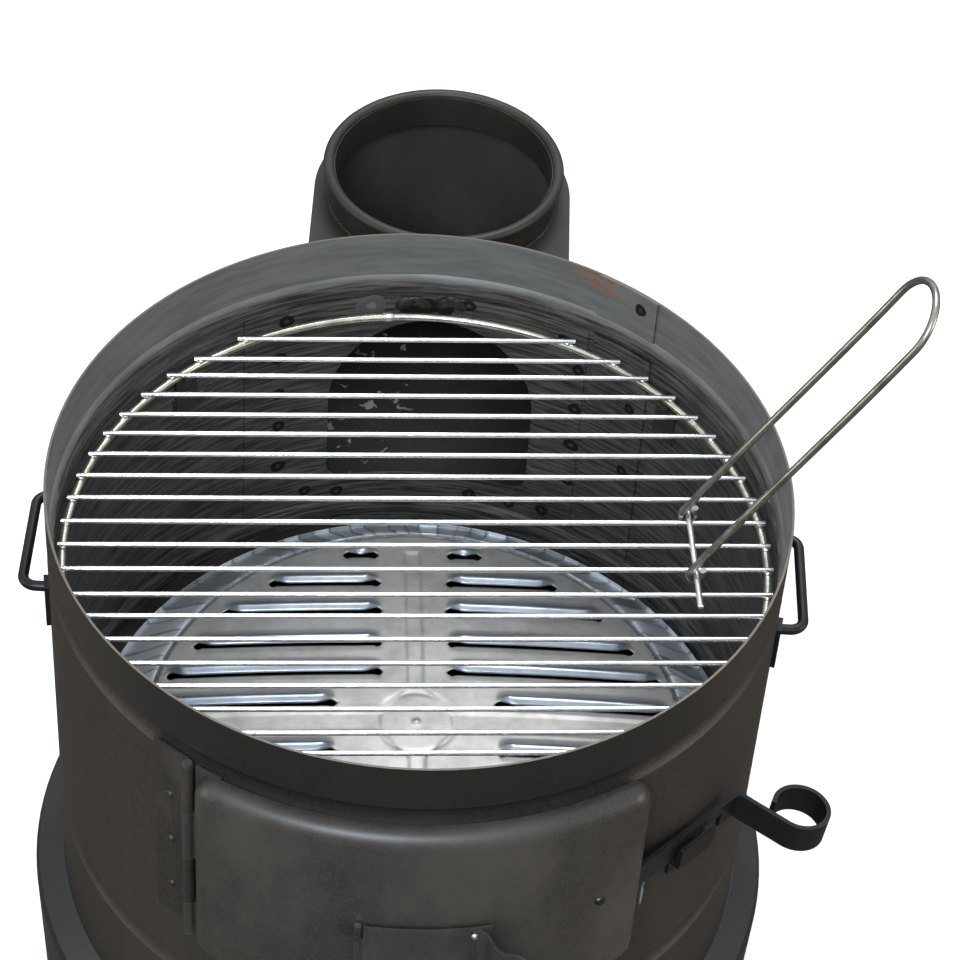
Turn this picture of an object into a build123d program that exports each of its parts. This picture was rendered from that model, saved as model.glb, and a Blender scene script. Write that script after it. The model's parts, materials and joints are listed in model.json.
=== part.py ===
from build123d import *
import math
import os

# Sheet-steel garden stove. Millimetres, +Z up, the floor at z = 0 and the body's axis on Z.
# The door is at the front (-Y) and the flue at the back (+Y). Angles round the body are
# measured from the front towards +X.

# ---- Driving dimensions: sheet metal body ----
SHEET = 1.5
BODY_R = 240.0
BODY_IN_R = BODY_R - SHEET
RIM_Z = 530.0
SEAT_Z = 176.5
BEAD_DEPTH = 3.5
BEAD_HALF = 9.0
UPPER_BEAD_Z = RIM_Z - 45.0
LOWER_BEAD_Z = RIM_Z - 267.0
SEAM_ANGLES = (139.5, 151.0)
DOORWAY_ANGLE = 3.0
DOORWAY_W = 230.0
DOORWAY_Z = (325.0, 468.0)
SLIT_ANGLE = 41.0
SLIT_SIZE = (42.0, 4.0)
SLIT_Z = RIM_Z - 173.0
PUNCH = 20.0

# ---- Flue ----
FLUE_X = 3.0
FLUE_Y = 358.0
FLUE_HALF = 94.0
FLUE_TOP_Z = RIM_Z - 60.0
FLUE_BOTTOM_Z = RIM_Z - 250.0
ARCH_HALF = 74.0
ARCH_TOP_Z = RIM_Z - 80.0
ARCH_SILL_Z = RIM_Z - 234.0
ARCH_CORNER = 13.0
COLLAR_BORE_R = 79.3
COLLAR_LIP_R = 4.0
COLLAR_LIP_STEP = 0.6
COLLAR_FOOT_R = 84.8
COLLAR_RIM_Z = RIM_Z - 32.0
FLUE_PLATE_T = 1.2
FLUE_PLATE_SETBACK = 2.0
FLUE_PLATE_ANGLES = (152.0, 213.0)
FLUE_PLATE_Z = (276.0, 474.0)

# ---- Door, hinge and latch ----
DOOR_ANGLES = (-30.4, 37.5)
DOOR_Z = (RIM_Z - 218.0, RIM_Z - 47.0)
DOOR_FOOT_R = 243.5
DOOR_FACE_R = 257.0
DOOR_CORNER = 16.0
DOOR_SHOULDER = 12.0
RIVET_TAPER = 25.0
HINGE_ANGLE = -32.2
HINGE_R = 245.5
KNUCKLE_R = 4.0
KNUCKLE_WEB_W = 5.2
HINGE_PIN_R = 2.0
HINGE_PIN_END = 2.0
HINGE_HEAD_R = 3.2
BODY_LEAF_ANGLES = (-39.5, -32.7)
BODY_LEAF_WEB = 4.8
DOOR_LEAF_ANGLES = (-31.1, -26.8)
DOOR_LEAF_IN_R = 241.8
DOOR_LEAF_WEB = 3.8
HINGE_RIVET_ANGLE = -36.4
HINGE_RIVET_Z = (RIM_Z - 91.5, RIM_Z - 135.5, RIM_Z - 181.0)
HINGE_RIVET = (3.2, 1.6)
RUNNING_GAP = 0.05
KNUCKLE_Z = (RIM_Z - 211.0, RIM_Z - 179.3, RIM_Z - 134.3, RIM_Z - 89.3, RIM_Z - 46.6)
KNUCKLE_GAP = 0.3
LATCH_ANGLE = 29.4
LATCH_R = 249.0
LATCH_Z = RIM_Z - 136.0
LATCH_TILT = 8.0
LATCH_STRIP = (3.0, 21.0)
LATCH_SHANK_R = 3.0
LATCH_SLOT_Z = (RIM_Z - 158.0, RIM_Z - 99.0)
LATCH_SLOT_R = (245.0, 252.5)
LATCH_SLOT_ANGLES = (34.0, 38.5)
LATCH_TAIL = 9.0
LATCH_INNER_HEAD = (5.5, 1.6)
LATCH_OUTER_HEAD = (3.6, 1.2)
LATCH_SIDE_GAP = 0.1
LATCH_SPACER_R = 6.5
LATCH_BEND = (127.3, 33.8)
LATCH_ELBOW = (30.0, 0.5)
LATCH_FOLD = 6.0
SCROLL_CENTRE = (161.0, 9.0)
SCROLL_R = 18.0
SCROLL_ARC = 300.0
KEEPER_MID_U = 86.0
KEEPER_LENGTH = 34.0
KEEPER_T = 3.0
KEEPER_LIP_OUT = 5.0
KEEPER_LIP_H = 16.5
KEEPER_WEB = 20.0
KEEPER_DROP = 6.0
KEEPER_FOOT_T = 2.0
KEEPER_FOOT_ANGLES = (45.6, 54.4)
KEEPER_FOOT_Z = (RIM_Z - 176.0, RIM_Z - 163.0)
NOTCH_PLAY = 12.0
NOTCH_SIZE = 14.0
NOTCH_SHIFT = (4.5, 1.5)

# ---- Draft flap ----
FLAP_ANGLES = (-4.2, 13.4)
FLAP_Z = (RIM_Z - 190.0, RIM_Z - 130.0)
FLAP_R = 258.4
FLAP_T = 1.2
FLAP_PIN_ANGLE = -5.0
FLAP_PIN_R = 1.2
FLAP_BARREL = (259.9, 2.6)
FLAP_HOLE_ANGLE = 4.5
FLAP_HOLE = (48.0, 40.0)
FLAP_HOLE_CORNER = 6.0
FLAP_LUG_H = 12.0
FLAP_LUG_ANGLES = (-7.6, -5.2)
FLAP_WEB = (5.0, 1.4)
FLAP_WEB_IN = 0.85
FLAP_LUG_WEB_IN = 1.75
FLAP_PIN_END = 1.0
FLAP_PIN_HEAD = (2.2, 1.4)
FLAP_TAB_ANGLE = 12.0
FLAP_TAB_H = 44.0
FLAP_TAB_DROP = 2.0
FLAP_TAB_CURL = ((-6.0, -0.75), (1.5, -3.0), (4.5, -12.0), (10.0, -20.0), (18.0, -23.0), (22.0, -28.0))
FLAP_RIVET_ANGLE = 10.9
FLAP_RIVET = (2.2, 1.6)
FLAP_RIVET_DROP = 6.0

# ---- Side handles ----
GRIP_X = 254.0
GRIP_HALF = 41.0
GRIP_Z = RIM_Z - 77.0
GRIP_BAR_R = 3.5
GRIP_CORNER = 9.0
GRIP_TAB = (12.0, 36.0, 3.0)
GRIP_TAB_RISE = 5.0
WELD_SINK = 2.0

# ---- Grill and its wire handle ----
GRILL_TURN = 4.4
RING_R = 231.2
RING_WIRE_R = 2.75
RING_Z = RIM_Z - 70.0
# The cross wires are set by hand, so their spacing varies a little.
CROSS_WIRES_Y = (
    *(-191.0, -172.5, -156.2, -136.9, -117.7, -98.9, -78.6),
    *(-58.7, -40.0, -17.7, 3.9, 25.0, 46.6, 67.2),
    *(87.6, 107.4, 125.8, 145.3, 164.6, 181.4, 202.1),
)
CROSS_WIRE_R = 1.75
CROSS_REACH_R = 234.2
ROD_X = 181.6
ROD_Y = (-54.0, 38.0)
ROD_R = 2.0
HANDLE_WIRE_R = 2.5
HANDLE_EYES_Y = (-25.0, 29.6)
HANDLE_EYE_R = 4.9
HANDLE_EYE_WIRE_R = 2.35
HANDLE_LENGTH = 257.0
HANDLE_RISE = 60.5
LUG_ANGLES = (45.0, 135.0, -135.0, -45.0)
LUG_SIZE = (18.0, 42.0, 12.5)
LUG_T = 2.0
LUG_GAP = 0.05

# ---- Grate and ledge ----
GRATE_TURN = 3.35
GRATE_T = 1.2
GRATE_FLAT_R = 188.0
GRATE_SHIFT = (5.5, 1.5)
HUB_SHIFT = (1.5, 6.0)
GRATE_SKIRT_R = 225.4
GRATE_RIM_R = 228.9
GRATE_TOP_Z = RIM_Z - 250.0
LEDGE_Z = RIM_Z - 283.0
LEDGE_IN_R = 220.0
LEDGE_DROP = 15.0
GRATE_LEAN = 1.0
HOOD_RISE = 5.5
HOOD_DEPTH = 13.0
HOOD_SLOT = 9.0
HOOD_SLOT_SHIFT = 1.0
HOOD_SLOT_END = 2.0
HOOD_SLOT_CUT = 4.0
HOOD_SWELL = 0.8
# One entry for each row of louvres on either side of the hub: y, inner x, outer x.
HOOD_ROWS = (
    (22.0, 56.0, 178.0),
    (51.4, 23.0, 170.0),
    (79.5, 23.0, 155.0),
    (112.0, 23.0, 133.0),
    (139.0, 24.0, 102.0),
    (163.0, 25.0, 51.0),
)

# ---- Base drum and ash drawer ----
DRUM_TOP_R = 261.0
DRUM_FOOT_R = 256.6
DRUM_SHOULDER_R = 258.5
DRUM_SHOULDER_Z = 165.0
DRUM_TOP_Z = 160.0
DRUM_LIP_PLAY = 1.0
DRUM_FOLD_DROP = 1.0
DRUM_EDGE_DROP = 0.6
DRUM_SEAT_R = 228.0
DRUM_FLANGE_R = 240.0
FLOOR_R = 256.3
FLOOR_Z = 48.5
DRAWER_HALF = 100.0
DRAWER_Z = (60.0, 132.0)
DRAWER_BACK_Y = 130.0
DRAWER_FRONT_R = 262.6
DRAWER_PANEL_ANGLE = 25.5
DRAWER_PANEL_Z = (53.0, 146.0)
DRAWER_PLAY = 1.5
DRAWER_WAY_TOP = 136.0
DRAWER_WAY_DEPTH = 140.0
PULL_HALF = 38.0
PULL_REACH = 24.0
PULL_R = 3.0
PULL_CORNER = 9.0
PULL_Z = 102.0
RAIL_LENGTH = 350.0
RAIL_H = 40.0
RAIL_LEDGE = 14.0
RAIL_GAP = 0.8
RAIL_BACK_PLAY = 4.0
RAIL_LIFT = 0.2


def plan_point(angle, radius):
    """X and Y of a point round the body."""
    turn = math.radians(angle)
    return radius * math.sin(turn), -radius * math.cos(turn)


def wall_plane(angle, radius, z):
    """Plane that faces outwards from the body: its x runs round the wall and its y is up."""
    turn = math.radians(angle)
    x, y = plan_point(angle, radius)
    return Plane(
        origin=(x, y, z),
        x_dir=(math.cos(turn), math.sin(turn), 0),
        z_dir=(math.sin(turn), -math.cos(turn), 0),
    )


def radial_plane(angle):
    """Upright plane through the body's axis: its x is the radius and its y is up."""
    turn = math.radians(angle)
    return Plane(
        origin=(0, 0, 0),
        x_dir=(math.sin(turn), -math.cos(turn), 0),
        z_dir=(-math.cos(turn), -math.sin(turn), 0),
    )


def level_plane(angle, radius, z):
    """Level plane on the wall: its x runs round the wall and its y points inwards."""
    turn = math.radians(angle)
    x, y = plan_point(angle, radius)
    return Plane(origin=(x, y, z), x_dir=(math.cos(turn), math.sin(turn), 0), z_dir=(0, 0, 1))


def sector(inner_r, outer_r, angles, heights, mode=Mode.ADD):
    """Curved panel between two radii, two angles and two heights."""
    with BuildSketch(radial_plane(angles[0])) as profile:
        with Locations(((inner_r + outer_r) / 2, (heights[0] + heights[1]) / 2)):
            Rectangle(outer_r - inner_r, heights[1] - heights[0])
    revolve(profile.sketch, axis=Axis.Z, revolution_arc=angles[1] - angles[0], mode=mode)


def disc(radius, centre, z, height, mode=Mode.ADD):
    """Upright cylinder standing on the height z."""
    with BuildSketch(Plane.XY.offset(z)) as outline:
        with Locations(centre):
            Circle(radius)
    extrude(outline.sketch, amount=height, mode=mode)


def clear_inside(radius):
    """Cut away whatever lies nearer the body's axis than the radius."""
    disc(radius, (0, 0), 0, RIM_Z, mode=Mode.SUBTRACT)


def beaded_wall(outer_r, z_low, z_high, bead_heights):
    """Upright sheet profile in which each bead is an arc pressed inwards."""
    inner_r = outer_r - SHEET
    stops = [z_low]
    for bead_z in bead_heights:
        stops += [bead_z - BEAD_HALF, bead_z + BEAD_HALF]
    stops.append(z_high)
    with BuildLine() as outline:
        for radius in (outer_r, inner_r):
            for index in range(len(stops) - 1):
                low = stops[index]
                high = stops[index + 1]
                if index % 2 == 0:
                    Line((radius, low), (radius, high))
                else:
                    ThreePointArc((radius, low), (radius - BEAD_DEPTH, (low + high) / 2), (radius, high))
        Line((outer_r, z_low), (inner_r, z_low))
        Line((outer_r, z_high), (inner_r, z_high))
    make_face(outline.edges())


def flue_outline(half_width):
    """Plan of the flue box: straight sides from the body and a round back."""
    with Locations((FLUE_X, (BODY_R / 2 + FLUE_Y) / 2)):
        Rectangle(2 * half_width, FLUE_Y - BODY_R / 2)
    with Locations((FLUE_X, FLUE_Y)):
        Circle(half_width)


def arch_outline(grow):
    """Arched flue opening, drawn about the back of the body, larger all round by grow."""
    half = ARCH_HALF + grow
    spring_z = ARCH_TOP_Z - ARCH_HALF
    sill_z = ARCH_SILL_Z - grow
    with Locations((-FLUE_X, (spring_z + sill_z) / 2)):
        Rectangle(2 * half, spring_z - sill_z)
    with Locations((-FLUE_X, spring_z)):
        Circle(half)


def cut_arch(grow):
    """Cut the arched opening through whatever stands at the back of the body."""
    with BuildSketch(wall_plane(180, BODY_R / 2, 0)) as opening:
        arch_outline(grow)
        fillet(opening.vertices().group_by(Axis.Z)[0], radius=ARCH_CORNER)
    extrude(opening.sketch, amount=BODY_R, mode=Mode.SUBTRACT)


def finish(part, name):
    """Name the piece and write its file."""
    part.label = name
    export_step(part, f"parts/{name}.step")


os.makedirs("parts", exist_ok=True)

# ---- Body shell: one rolled sheet with two beads and a lap seam ----
with BuildPart() as body_shell:
    with BuildSketch(Plane.XZ):
        beaded_wall(BODY_R, SEAT_Z, RIM_Z, (LOWER_BEAD_Z, UPPER_BEAD_Z))
    revolve(axis=Axis.Z)
    lap_stops = (SEAT_Z, LOWER_BEAD_Z - BEAD_HALF, LOWER_BEAD_Z + BEAD_HALF)
    lap_stops += (UPPER_BEAD_Z - BEAD_HALF, UPPER_BEAD_Z + BEAD_HALF, RIM_Z)
    for lap_low, lap_high in zip(lap_stops[0::2], lap_stops[1::2]):
        sector(BODY_IN_R - SHEET, BODY_IN_R, SEAM_ANGLES, (lap_low, lap_high))
    with BuildSketch(wall_plane(DOORWAY_ANGLE, BODY_R / 2, sum(DOORWAY_Z) / 2)) as doorway:
        RectangleRounded(DOORWAY_W, DOORWAY_Z[1] - DOORWAY_Z[0], DOOR_CORNER)
    extrude(doorway.sketch, amount=BODY_R, mode=Mode.SUBTRACT)
    cut_arch(0)
    with BuildSketch(wall_plane(SLIT_ANGLE, BODY_R - PUNCH / 2, SLIT_Z)) as slit:
        SlotOverall(*SLIT_SIZE, rotation=90)
    extrude(slit.sketch, amount=PUNCH, mode=Mode.SUBTRACT)
finish(body_shell.part, "body_shell")

# ---- Flue plate: reinforcing sheet inside the back wall ----
with BuildPart() as flue_plate:
    sector(BODY_IN_R - FLUE_PLATE_T, BODY_IN_R, FLUE_PLATE_ANGLES, FLUE_PLATE_Z)
    cut_arch(FLUE_PLATE_SETBACK)
finish(flue_plate.part, "flue_plate")

# ---- Flue box: wall, top and bottom ----
with BuildPart() as flue_box:
    with BuildSketch(Plane.XY.offset(FLUE_BOTTOM_Z + SHEET)):
        flue_outline(FLUE_HALF)
        with BuildSketch(mode=Mode.SUBTRACT):
            flue_outline(FLUE_HALF - SHEET)
        Circle(BODY_R, mode=Mode.SUBTRACT)
    extrude(amount=FLUE_TOP_Z - FLUE_BOTTOM_Z - 2 * SHEET)
finish(flue_box.part, "flue_box")

with BuildPart() as flue_box_top:
    with BuildSketch(Plane.XY.offset(FLUE_TOP_Z - SHEET)):
        flue_outline(FLUE_HALF)
        Circle(BODY_R, mode=Mode.SUBTRACT)
        with Locations((FLUE_X, FLUE_Y)):
            Circle(COLLAR_BORE_R, mode=Mode.SUBTRACT)
    extrude(amount=SHEET)
finish(flue_box_top.part, "flue_box_top")

with BuildPart() as flue_box_bottom:
    with BuildSketch(Plane.XY.offset(FLUE_BOTTOM_Z)):
        flue_outline(FLUE_HALF)
        Circle(BODY_R, mode=Mode.SUBTRACT)
    extrude(amount=SHEET)
finish(flue_box_bottom.part, "flue_box_bottom")

# ---- Flue collar: a short tube with a foot flange and a rolled lip ----
with BuildPart() as flue_collar:
    lip_z = COLLAR_RIM_Z - COLLAR_LIP_R
    with BuildSketch(Plane(origin=(FLUE_X, FLUE_Y, 0), x_dir=(1, 0, 0), z_dir=(0, -1, 0))):
        with Locations((COLLAR_BORE_R + SHEET / 2, (FLUE_TOP_Z + lip_z) / 2)):
            Rectangle(SHEET, lip_z - FLUE_TOP_Z)
        with Locations(((COLLAR_BORE_R + SHEET / 2 + COLLAR_FOOT_R) / 2, FLUE_TOP_Z + SHEET / 2)):
            Rectangle(COLLAR_FOOT_R - COLLAR_BORE_R - SHEET / 2, SHEET)
        with Locations((COLLAR_BORE_R + COLLAR_LIP_R + COLLAR_LIP_STEP, lip_z)):
            Circle(COLLAR_LIP_R)
    revolve(axis=Axis((FLUE_X, FLUE_Y, 0), (0, 0, 1)))
finish(flue_collar.part, "flue_collar")


# ---- Door hinge: leaves with alternating knuckles on one pin ----
def knuckles(spans, side, web_depth):
    """Bored barrels on the hinge line, each with a web to its leaf on one side."""
    for low, high in spans:
        with BuildSketch(level_plane(HINGE_ANGLE, HINGE_R, low)) as barrel:
            Circle(KNUCKLE_R)
            with Locations((side * KNUCKLE_WEB_W / 2, web_depth / 2)):
                Rectangle(KNUCKLE_WEB_W, web_depth)
            Circle(HINGE_PIN_R + RUNNING_GAP, mode=Mode.SUBTRACT)
        extrude(barrel.sketch, amount=high - low)


hinge_spans = []
for span_low, span_high in zip(KNUCKLE_Z[:-1], KNUCKLE_Z[1:]):
    hinge_spans.append((span_low + KNUCKLE_GAP / 2, span_high - KNUCKLE_GAP / 2))

with BuildPart() as hinge_body_leaf:
    sector(BODY_R, BODY_R + SHEET, BODY_LEAF_ANGLES, (KNUCKLE_Z[0], KNUCKLE_Z[-1]))
    knuckles(hinge_spans[1::2], -1, BODY_LEAF_WEB)
finish(hinge_body_leaf.part, "hinge_body_leaf")

with BuildPart() as hinge_door_leaf:
    sector(DOOR_LEAF_IN_R, DOOR_FOOT_R, DOOR_LEAF_ANGLES, (KNUCKLE_Z[0], KNUCKLE_Z[-1]))
    knuckles(hinge_spans[0::2], 1, DOOR_LEAF_WEB)
finish(hinge_door_leaf.part, "hinge_door_leaf")

with BuildPart() as hinge_pin:
    hinge_xy = plan_point(HINGE_ANGLE, HINGE_R)
    pin_low = KNUCKLE_Z[0] - HINGE_PIN_END
    disc(HINGE_PIN_R, hinge_xy, pin_low, KNUCKLE_Z[-1] - KNUCKLE_Z[0] + 2 * HINGE_PIN_END)
    disc(HINGE_HEAD_R, hinge_xy, KNUCKLE_Z[-1] + KNUCKLE_GAP, HINGE_PIN_END)
    disc(HINGE_HEAD_R, hinge_xy, pin_low - KNUCKLE_GAP, HINGE_PIN_END)
finish(hinge_pin.part, "hinge_pin")

with BuildPart() as hinge_rivets:
    for rivet_z in HINGE_RIVET_Z:
        with BuildSketch(wall_plane(HINGE_RIVET_ANGLE, BODY_R + SHEET, rivet_z)) as rivet:
            Circle(HINGE_RIVET[0])
        extrude(rivet.sketch, amount=HINGE_RIVET[1], taper=RIVET_TAPER)
finish(hinge_rivets.part, "hinge_rivets")


# ---- Door: one pressed pan with rounded shoulders ----
def door_blank(inset, corner, shoulder):
    """Solid blank of the pressed door, smaller all round by inset."""
    turn = math.degrees(inset / DOOR_FACE_R)
    angles = (DOOR_ANGLES[0] + turn, DOOR_ANGLES[1] - turn)
    with BuildPart() as blank:
        sector(DOOR_FOOT_R, DOOR_FACE_R - inset, angles, (DOOR_Z[0] + inset, DOOR_Z[1] - inset))
        uprights = []
        for edge in blank.edges().filter_by(GeomType.LINE):
            if abs(edge.tangent_at(0.5).Z) < 0.5:
                uprights.append(edge)
        fillet(uprights, radius=corner)
        face_edges = []
        for edge in blank.edges():
            middle = edge.position_at(0.5)
            if math.hypot(middle.X, middle.Y) > DOOR_FACE_R - inset - 0.2:
                face_edges.append(edge)
        fillet(face_edges, radius=shoulder)
    return blank.part


door_outside = door_blank(0, DOOR_CORNER, DOOR_SHOULDER)
door_inside = door_blank(SHEET, DOOR_CORNER - SHEET, DOOR_SHOULDER - SHEET)

with BuildPart() as door_panel:
    add(door_outside)
    add(door_inside, mode=Mode.SUBTRACT)
    sector(*LATCH_SLOT_R, LATCH_SLOT_ANGLES, LATCH_SLOT_Z, mode=Mode.SUBTRACT)
    with BuildSketch(wall_plane(LATCH_ANGLE, DOOR_FACE_R - PUNCH / 2, LATCH_Z)) as rivet_hole:
        Circle(LATCH_SHANK_R)
    extrude(rivet_hole.sketch, amount=PUNCH, mode=Mode.SUBTRACT)
    hole_plane = wall_plane(FLAP_HOLE_ANGLE, DOOR_FACE_R - PUNCH / 2, sum(FLAP_Z) / 2)
    with BuildSketch(hole_plane) as draft_hole:
        RectangleRounded(*FLAP_HOLE, FLAP_HOLE_CORNER)
    extrude(draft_hole.sketch, amount=PUNCH, mode=Mode.SUBTRACT)
finish(door_panel.part, "door_panel")

# ---- Latch: lever with a scroll grip, pivoted in the door, and the keeper on the body ----
tilt_cos = math.cos(math.radians(LATCH_TILT))
tilt_sin = math.sin(math.radians(LATCH_TILT))
latch_round = wall_plane(LATCH_ANGLE, LATCH_R, LATCH_Z).x_dir
latch_x, latch_y = plan_point(LATCH_ANGLE, LATCH_R)
# The lever's own plane tips down to the right by its rest angle: x along it, y inwards.
lever_plane = Plane(
    origin=(latch_x, latch_y, LATCH_Z),
    x_dir=(latch_round.X * tilt_cos, latch_round.Y * tilt_cos, -tilt_sin),
    z_dir=(latch_round.X * tilt_sin, latch_round.Y * tilt_sin, tilt_cos),
)
run_x = LATCH_BEND[0] - LATCH_ELBOW[0]
run_y = LATCH_BEND[1] - LATCH_ELBOW[1]
run_slope = run_y / run_x
keeper_turn = math.degrees(math.atan(run_slope))
keeper_mid_v = LATCH_ELBOW[1] + run_slope * (KEEPER_MID_U - LATCH_ELBOW[0])

with BuildPart() as latch_lever:
    strip_t, strip_h = LATCH_STRIP
    # The grip leaves the bend on the tangent that keeps the scroll's centre on its left.
    reach = math.dist(LATCH_BEND, SCROLL_CENTRE)
    heading = math.atan2(SCROLL_CENTRE[1] - LATCH_BEND[1], SCROLL_CENTRE[0] - LATCH_BEND[0])
    heading -= math.asin(SCROLL_R / reach)
    straight = math.sqrt(reach**2 - SCROLL_R**2)
    touch = (
        LATCH_BEND[0] + straight * math.cos(heading),
        LATCH_BEND[1] + straight * math.sin(heading),
    )
    scroll_start = math.degrees(heading) - 90
    with BuildSketch(lever_plane.offset(-strip_h / 2)):
        with BuildLine() as lever_line:
            Polyline((-LATCH_TAIL, 0), (LATCH_ELBOW[0] - LATCH_FOLD, 0), LATCH_ELBOW, LATCH_BEND, touch)
            CenterArc(SCROLL_CENTRE, SCROLL_R, scroll_start, SCROLL_ARC)
        trace(line_width=strip_t)
    extrude(amount=strip_h)
    with BuildSketch(wall_plane(LATCH_ANGLE, LATCH_R - PUNCH / 2, LATCH_Z)) as pivot_bore:
        Circle(LATCH_SHANK_R + RUNNING_GAP)
    extrude(pivot_bore.sketch, amount=PUNCH, mode=Mode.SUBTRACT)
    # Notch over the keeper's lip, with room on the scroll side for the door's swing.
    notch_low = -strip_h / 2 - 1
    with BuildSketch(lever_plane.offset(notch_low)) as notch:
        notch_centre = (KEEPER_MID_U + NOTCH_SHIFT[0], keeper_mid_v + NOTCH_SHIFT[1])
        with Locations(Location(notch_centre, keeper_turn)):
            Rectangle(KEEPER_LENGTH + NOTCH_PLAY, NOTCH_SIZE)
    extrude(notch.sketch, amount=NOTCH_SIZE, mode=Mode.SUBTRACT)
finish(latch_lever.part, "latch_lever")

lever_side = LATCH_STRIP[0] / 2 + LATCH_SIDE_GAP
lever_inner = wall_plane(LATCH_ANGLE, LATCH_R - lever_side, LATCH_Z)

with BuildPart() as latch_rivet:
    with BuildSketch(lever_inner) as shank:
        Circle(LATCH_SHANK_R)
    extrude(shank.sketch, amount=DOOR_FACE_R - LATCH_R + lever_side + LATCH_OUTER_HEAD[1] / 2)
    with BuildSketch(lever_inner) as inner_head:
        Circle(LATCH_INNER_HEAD[0])
    extrude(inner_head.sketch, amount=-LATCH_INNER_HEAD[1])
    with BuildSketch(wall_plane(LATCH_ANGLE, DOOR_FACE_R + RUNNING_GAP, LATCH_Z)) as outer_head:
        Circle(LATCH_OUTER_HEAD[0])
    extrude(outer_head.sketch, amount=LATCH_OUTER_HEAD[1], taper=RIVET_TAPER)
finish(latch_rivet.part, "latch_rivet")

with BuildPart() as latch_spacer:
    with BuildSketch(wall_plane(LATCH_ANGLE, LATCH_R + lever_side, LATCH_Z)):
        Circle(LATCH_SPACER_R)
        Circle(LATCH_SHANK_R, mode=Mode.SUBTRACT)
    extrude(amount=DOOR_FACE_R - SHEET - LATCH_R - lever_side - LATCH_SIDE_GAP)
finish(latch_spacer.part, "latch_spacer")

with BuildPart() as latch_keeper:
    # A folded hook: a web below the lever and a lip in front of it, on a foot plate.
    lip_offset = -KEEPER_LIP_OUT
    web_low = -LATCH_STRIP[1] / 2 - KEEPER_DROP
    with BuildSketch(lever_plane.offset(web_low)) as web:
        with Locations(Location((KEEPER_MID_U, keeper_mid_v), keeper_turn)):
            with Locations((0, lip_offset + KEEPER_WEB / 2)):
                Rectangle(KEEPER_LENGTH, KEEPER_WEB + KEEPER_T)
    extrude(web.sketch, amount=KEEPER_T)
    with BuildSketch(lever_plane.offset(web_low)) as lip:
        with Locations(Location((KEEPER_MID_U, keeper_mid_v), keeper_turn)):
            with Locations((0, lip_offset)):
                Rectangle(KEEPER_LENGTH, KEEPER_T)
    extrude(lip.sketch, amount=KEEPER_LIP_H)
    sector(BODY_R, BODY_R + KEEPER_FOOT_T, KEEPER_FOOT_ANGLES, KEEPER_FOOT_Z)
    clear_inside(BODY_R)
finish(latch_keeper.part, "latch_keeper")

# ---- Draft flap: a curved plate over the door's air hole, hinged at its left edge ----
barrel_line_r, barrel_r = FLAP_BARREL
flap_low, flap_high = FLAP_Z


def flap_barrel(low, high, side, web_y):
    """Bored barrel on the flap's hinge line with a web towards one side."""
    with BuildSketch(level_plane(FLAP_PIN_ANGLE, barrel_line_r, low)) as barrel:
        Circle(barrel_r)
        with Locations((side * FLAP_WEB[0] / 2, web_y)):
            Rectangle(*FLAP_WEB)
        Circle(FLAP_PIN_R + RUNNING_GAP, mode=Mode.SUBTRACT)
    extrude(barrel.sketch, amount=high - low)


with BuildPart() as draft_flap:
    sector(FLAP_R, FLAP_R + FLAP_T, FLAP_ANGLES, FLAP_Z)
    barrel_low = flap_low + FLAP_LUG_H + KNUCKLE_GAP
    flap_barrel(barrel_low, flap_high - FLAP_LUG_H - KNUCKLE_GAP, 1, FLAP_WEB_IN)
finish(draft_flap.part, "draft_flap")

with BuildPart() as flap_lugs:
    for lug_z in (flap_low, flap_high - FLAP_LUG_H):
        sector(DOOR_FACE_R, DOOR_FACE_R + FLAP_T, FLAP_LUG_ANGLES, (lug_z, lug_z + FLAP_LUG_H))
        flap_barrel(lug_z, lug_z + FLAP_LUG_H, -1, FLAP_LUG_WEB_IN)
    # The lugs stand on the door's face and stay clear of the flap.
    clear_inside(DOOR_FACE_R)
finish(flap_lugs.part, "flap_lugs")

with BuildPart() as flap_pin:
    flap_xy = plan_point(FLAP_PIN_ANGLE, barrel_line_r)
    disc(FLAP_PIN_R, flap_xy, flap_low - FLAP_PIN_END, flap_high - flap_low + 2 * FLAP_PIN_END)
    head_r, head_h = FLAP_PIN_HEAD
    disc(head_r, flap_xy, flap_high + KNUCKLE_GAP, head_h)
    disc(head_r, flap_xy, flap_low - KNUCKLE_GAP - head_h, head_h)
finish(flap_pin.part, "flap_pin")

with BuildPart() as flap_tab:
    # Finger tab: a strip that leaves the flap's free edge and curls to the right.
    tab_low = flap_high - FLAP_TAB_H - FLAP_TAB_DROP
    with BuildSketch(level_plane(FLAP_TAB_ANGLE, FLAP_R + FLAP_T, tab_low)):
        with BuildLine():
            Spline(*FLAP_TAB_CURL)
        trace(line_width=SHEET)
    extrude(amount=FLAP_TAB_H)
    clear_inside(FLAP_R + FLAP_T)
finish(flap_tab.part, "flap_tab")

with BuildPart() as flap_rivet:
    rivet_r = FLAP_R + FLAP_T + SHEET + RUNNING_GAP
    with BuildSketch(wall_plane(FLAP_RIVET_ANGLE, rivet_r, flap_high - FLAP_RIVET_DROP)):
        Circle(FLAP_RIVET[0])
    extrude(amount=FLAP_RIVET[1], taper=RIVET_TAPER)
finish(flap_rivet.part, "flap_rivet")


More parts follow.
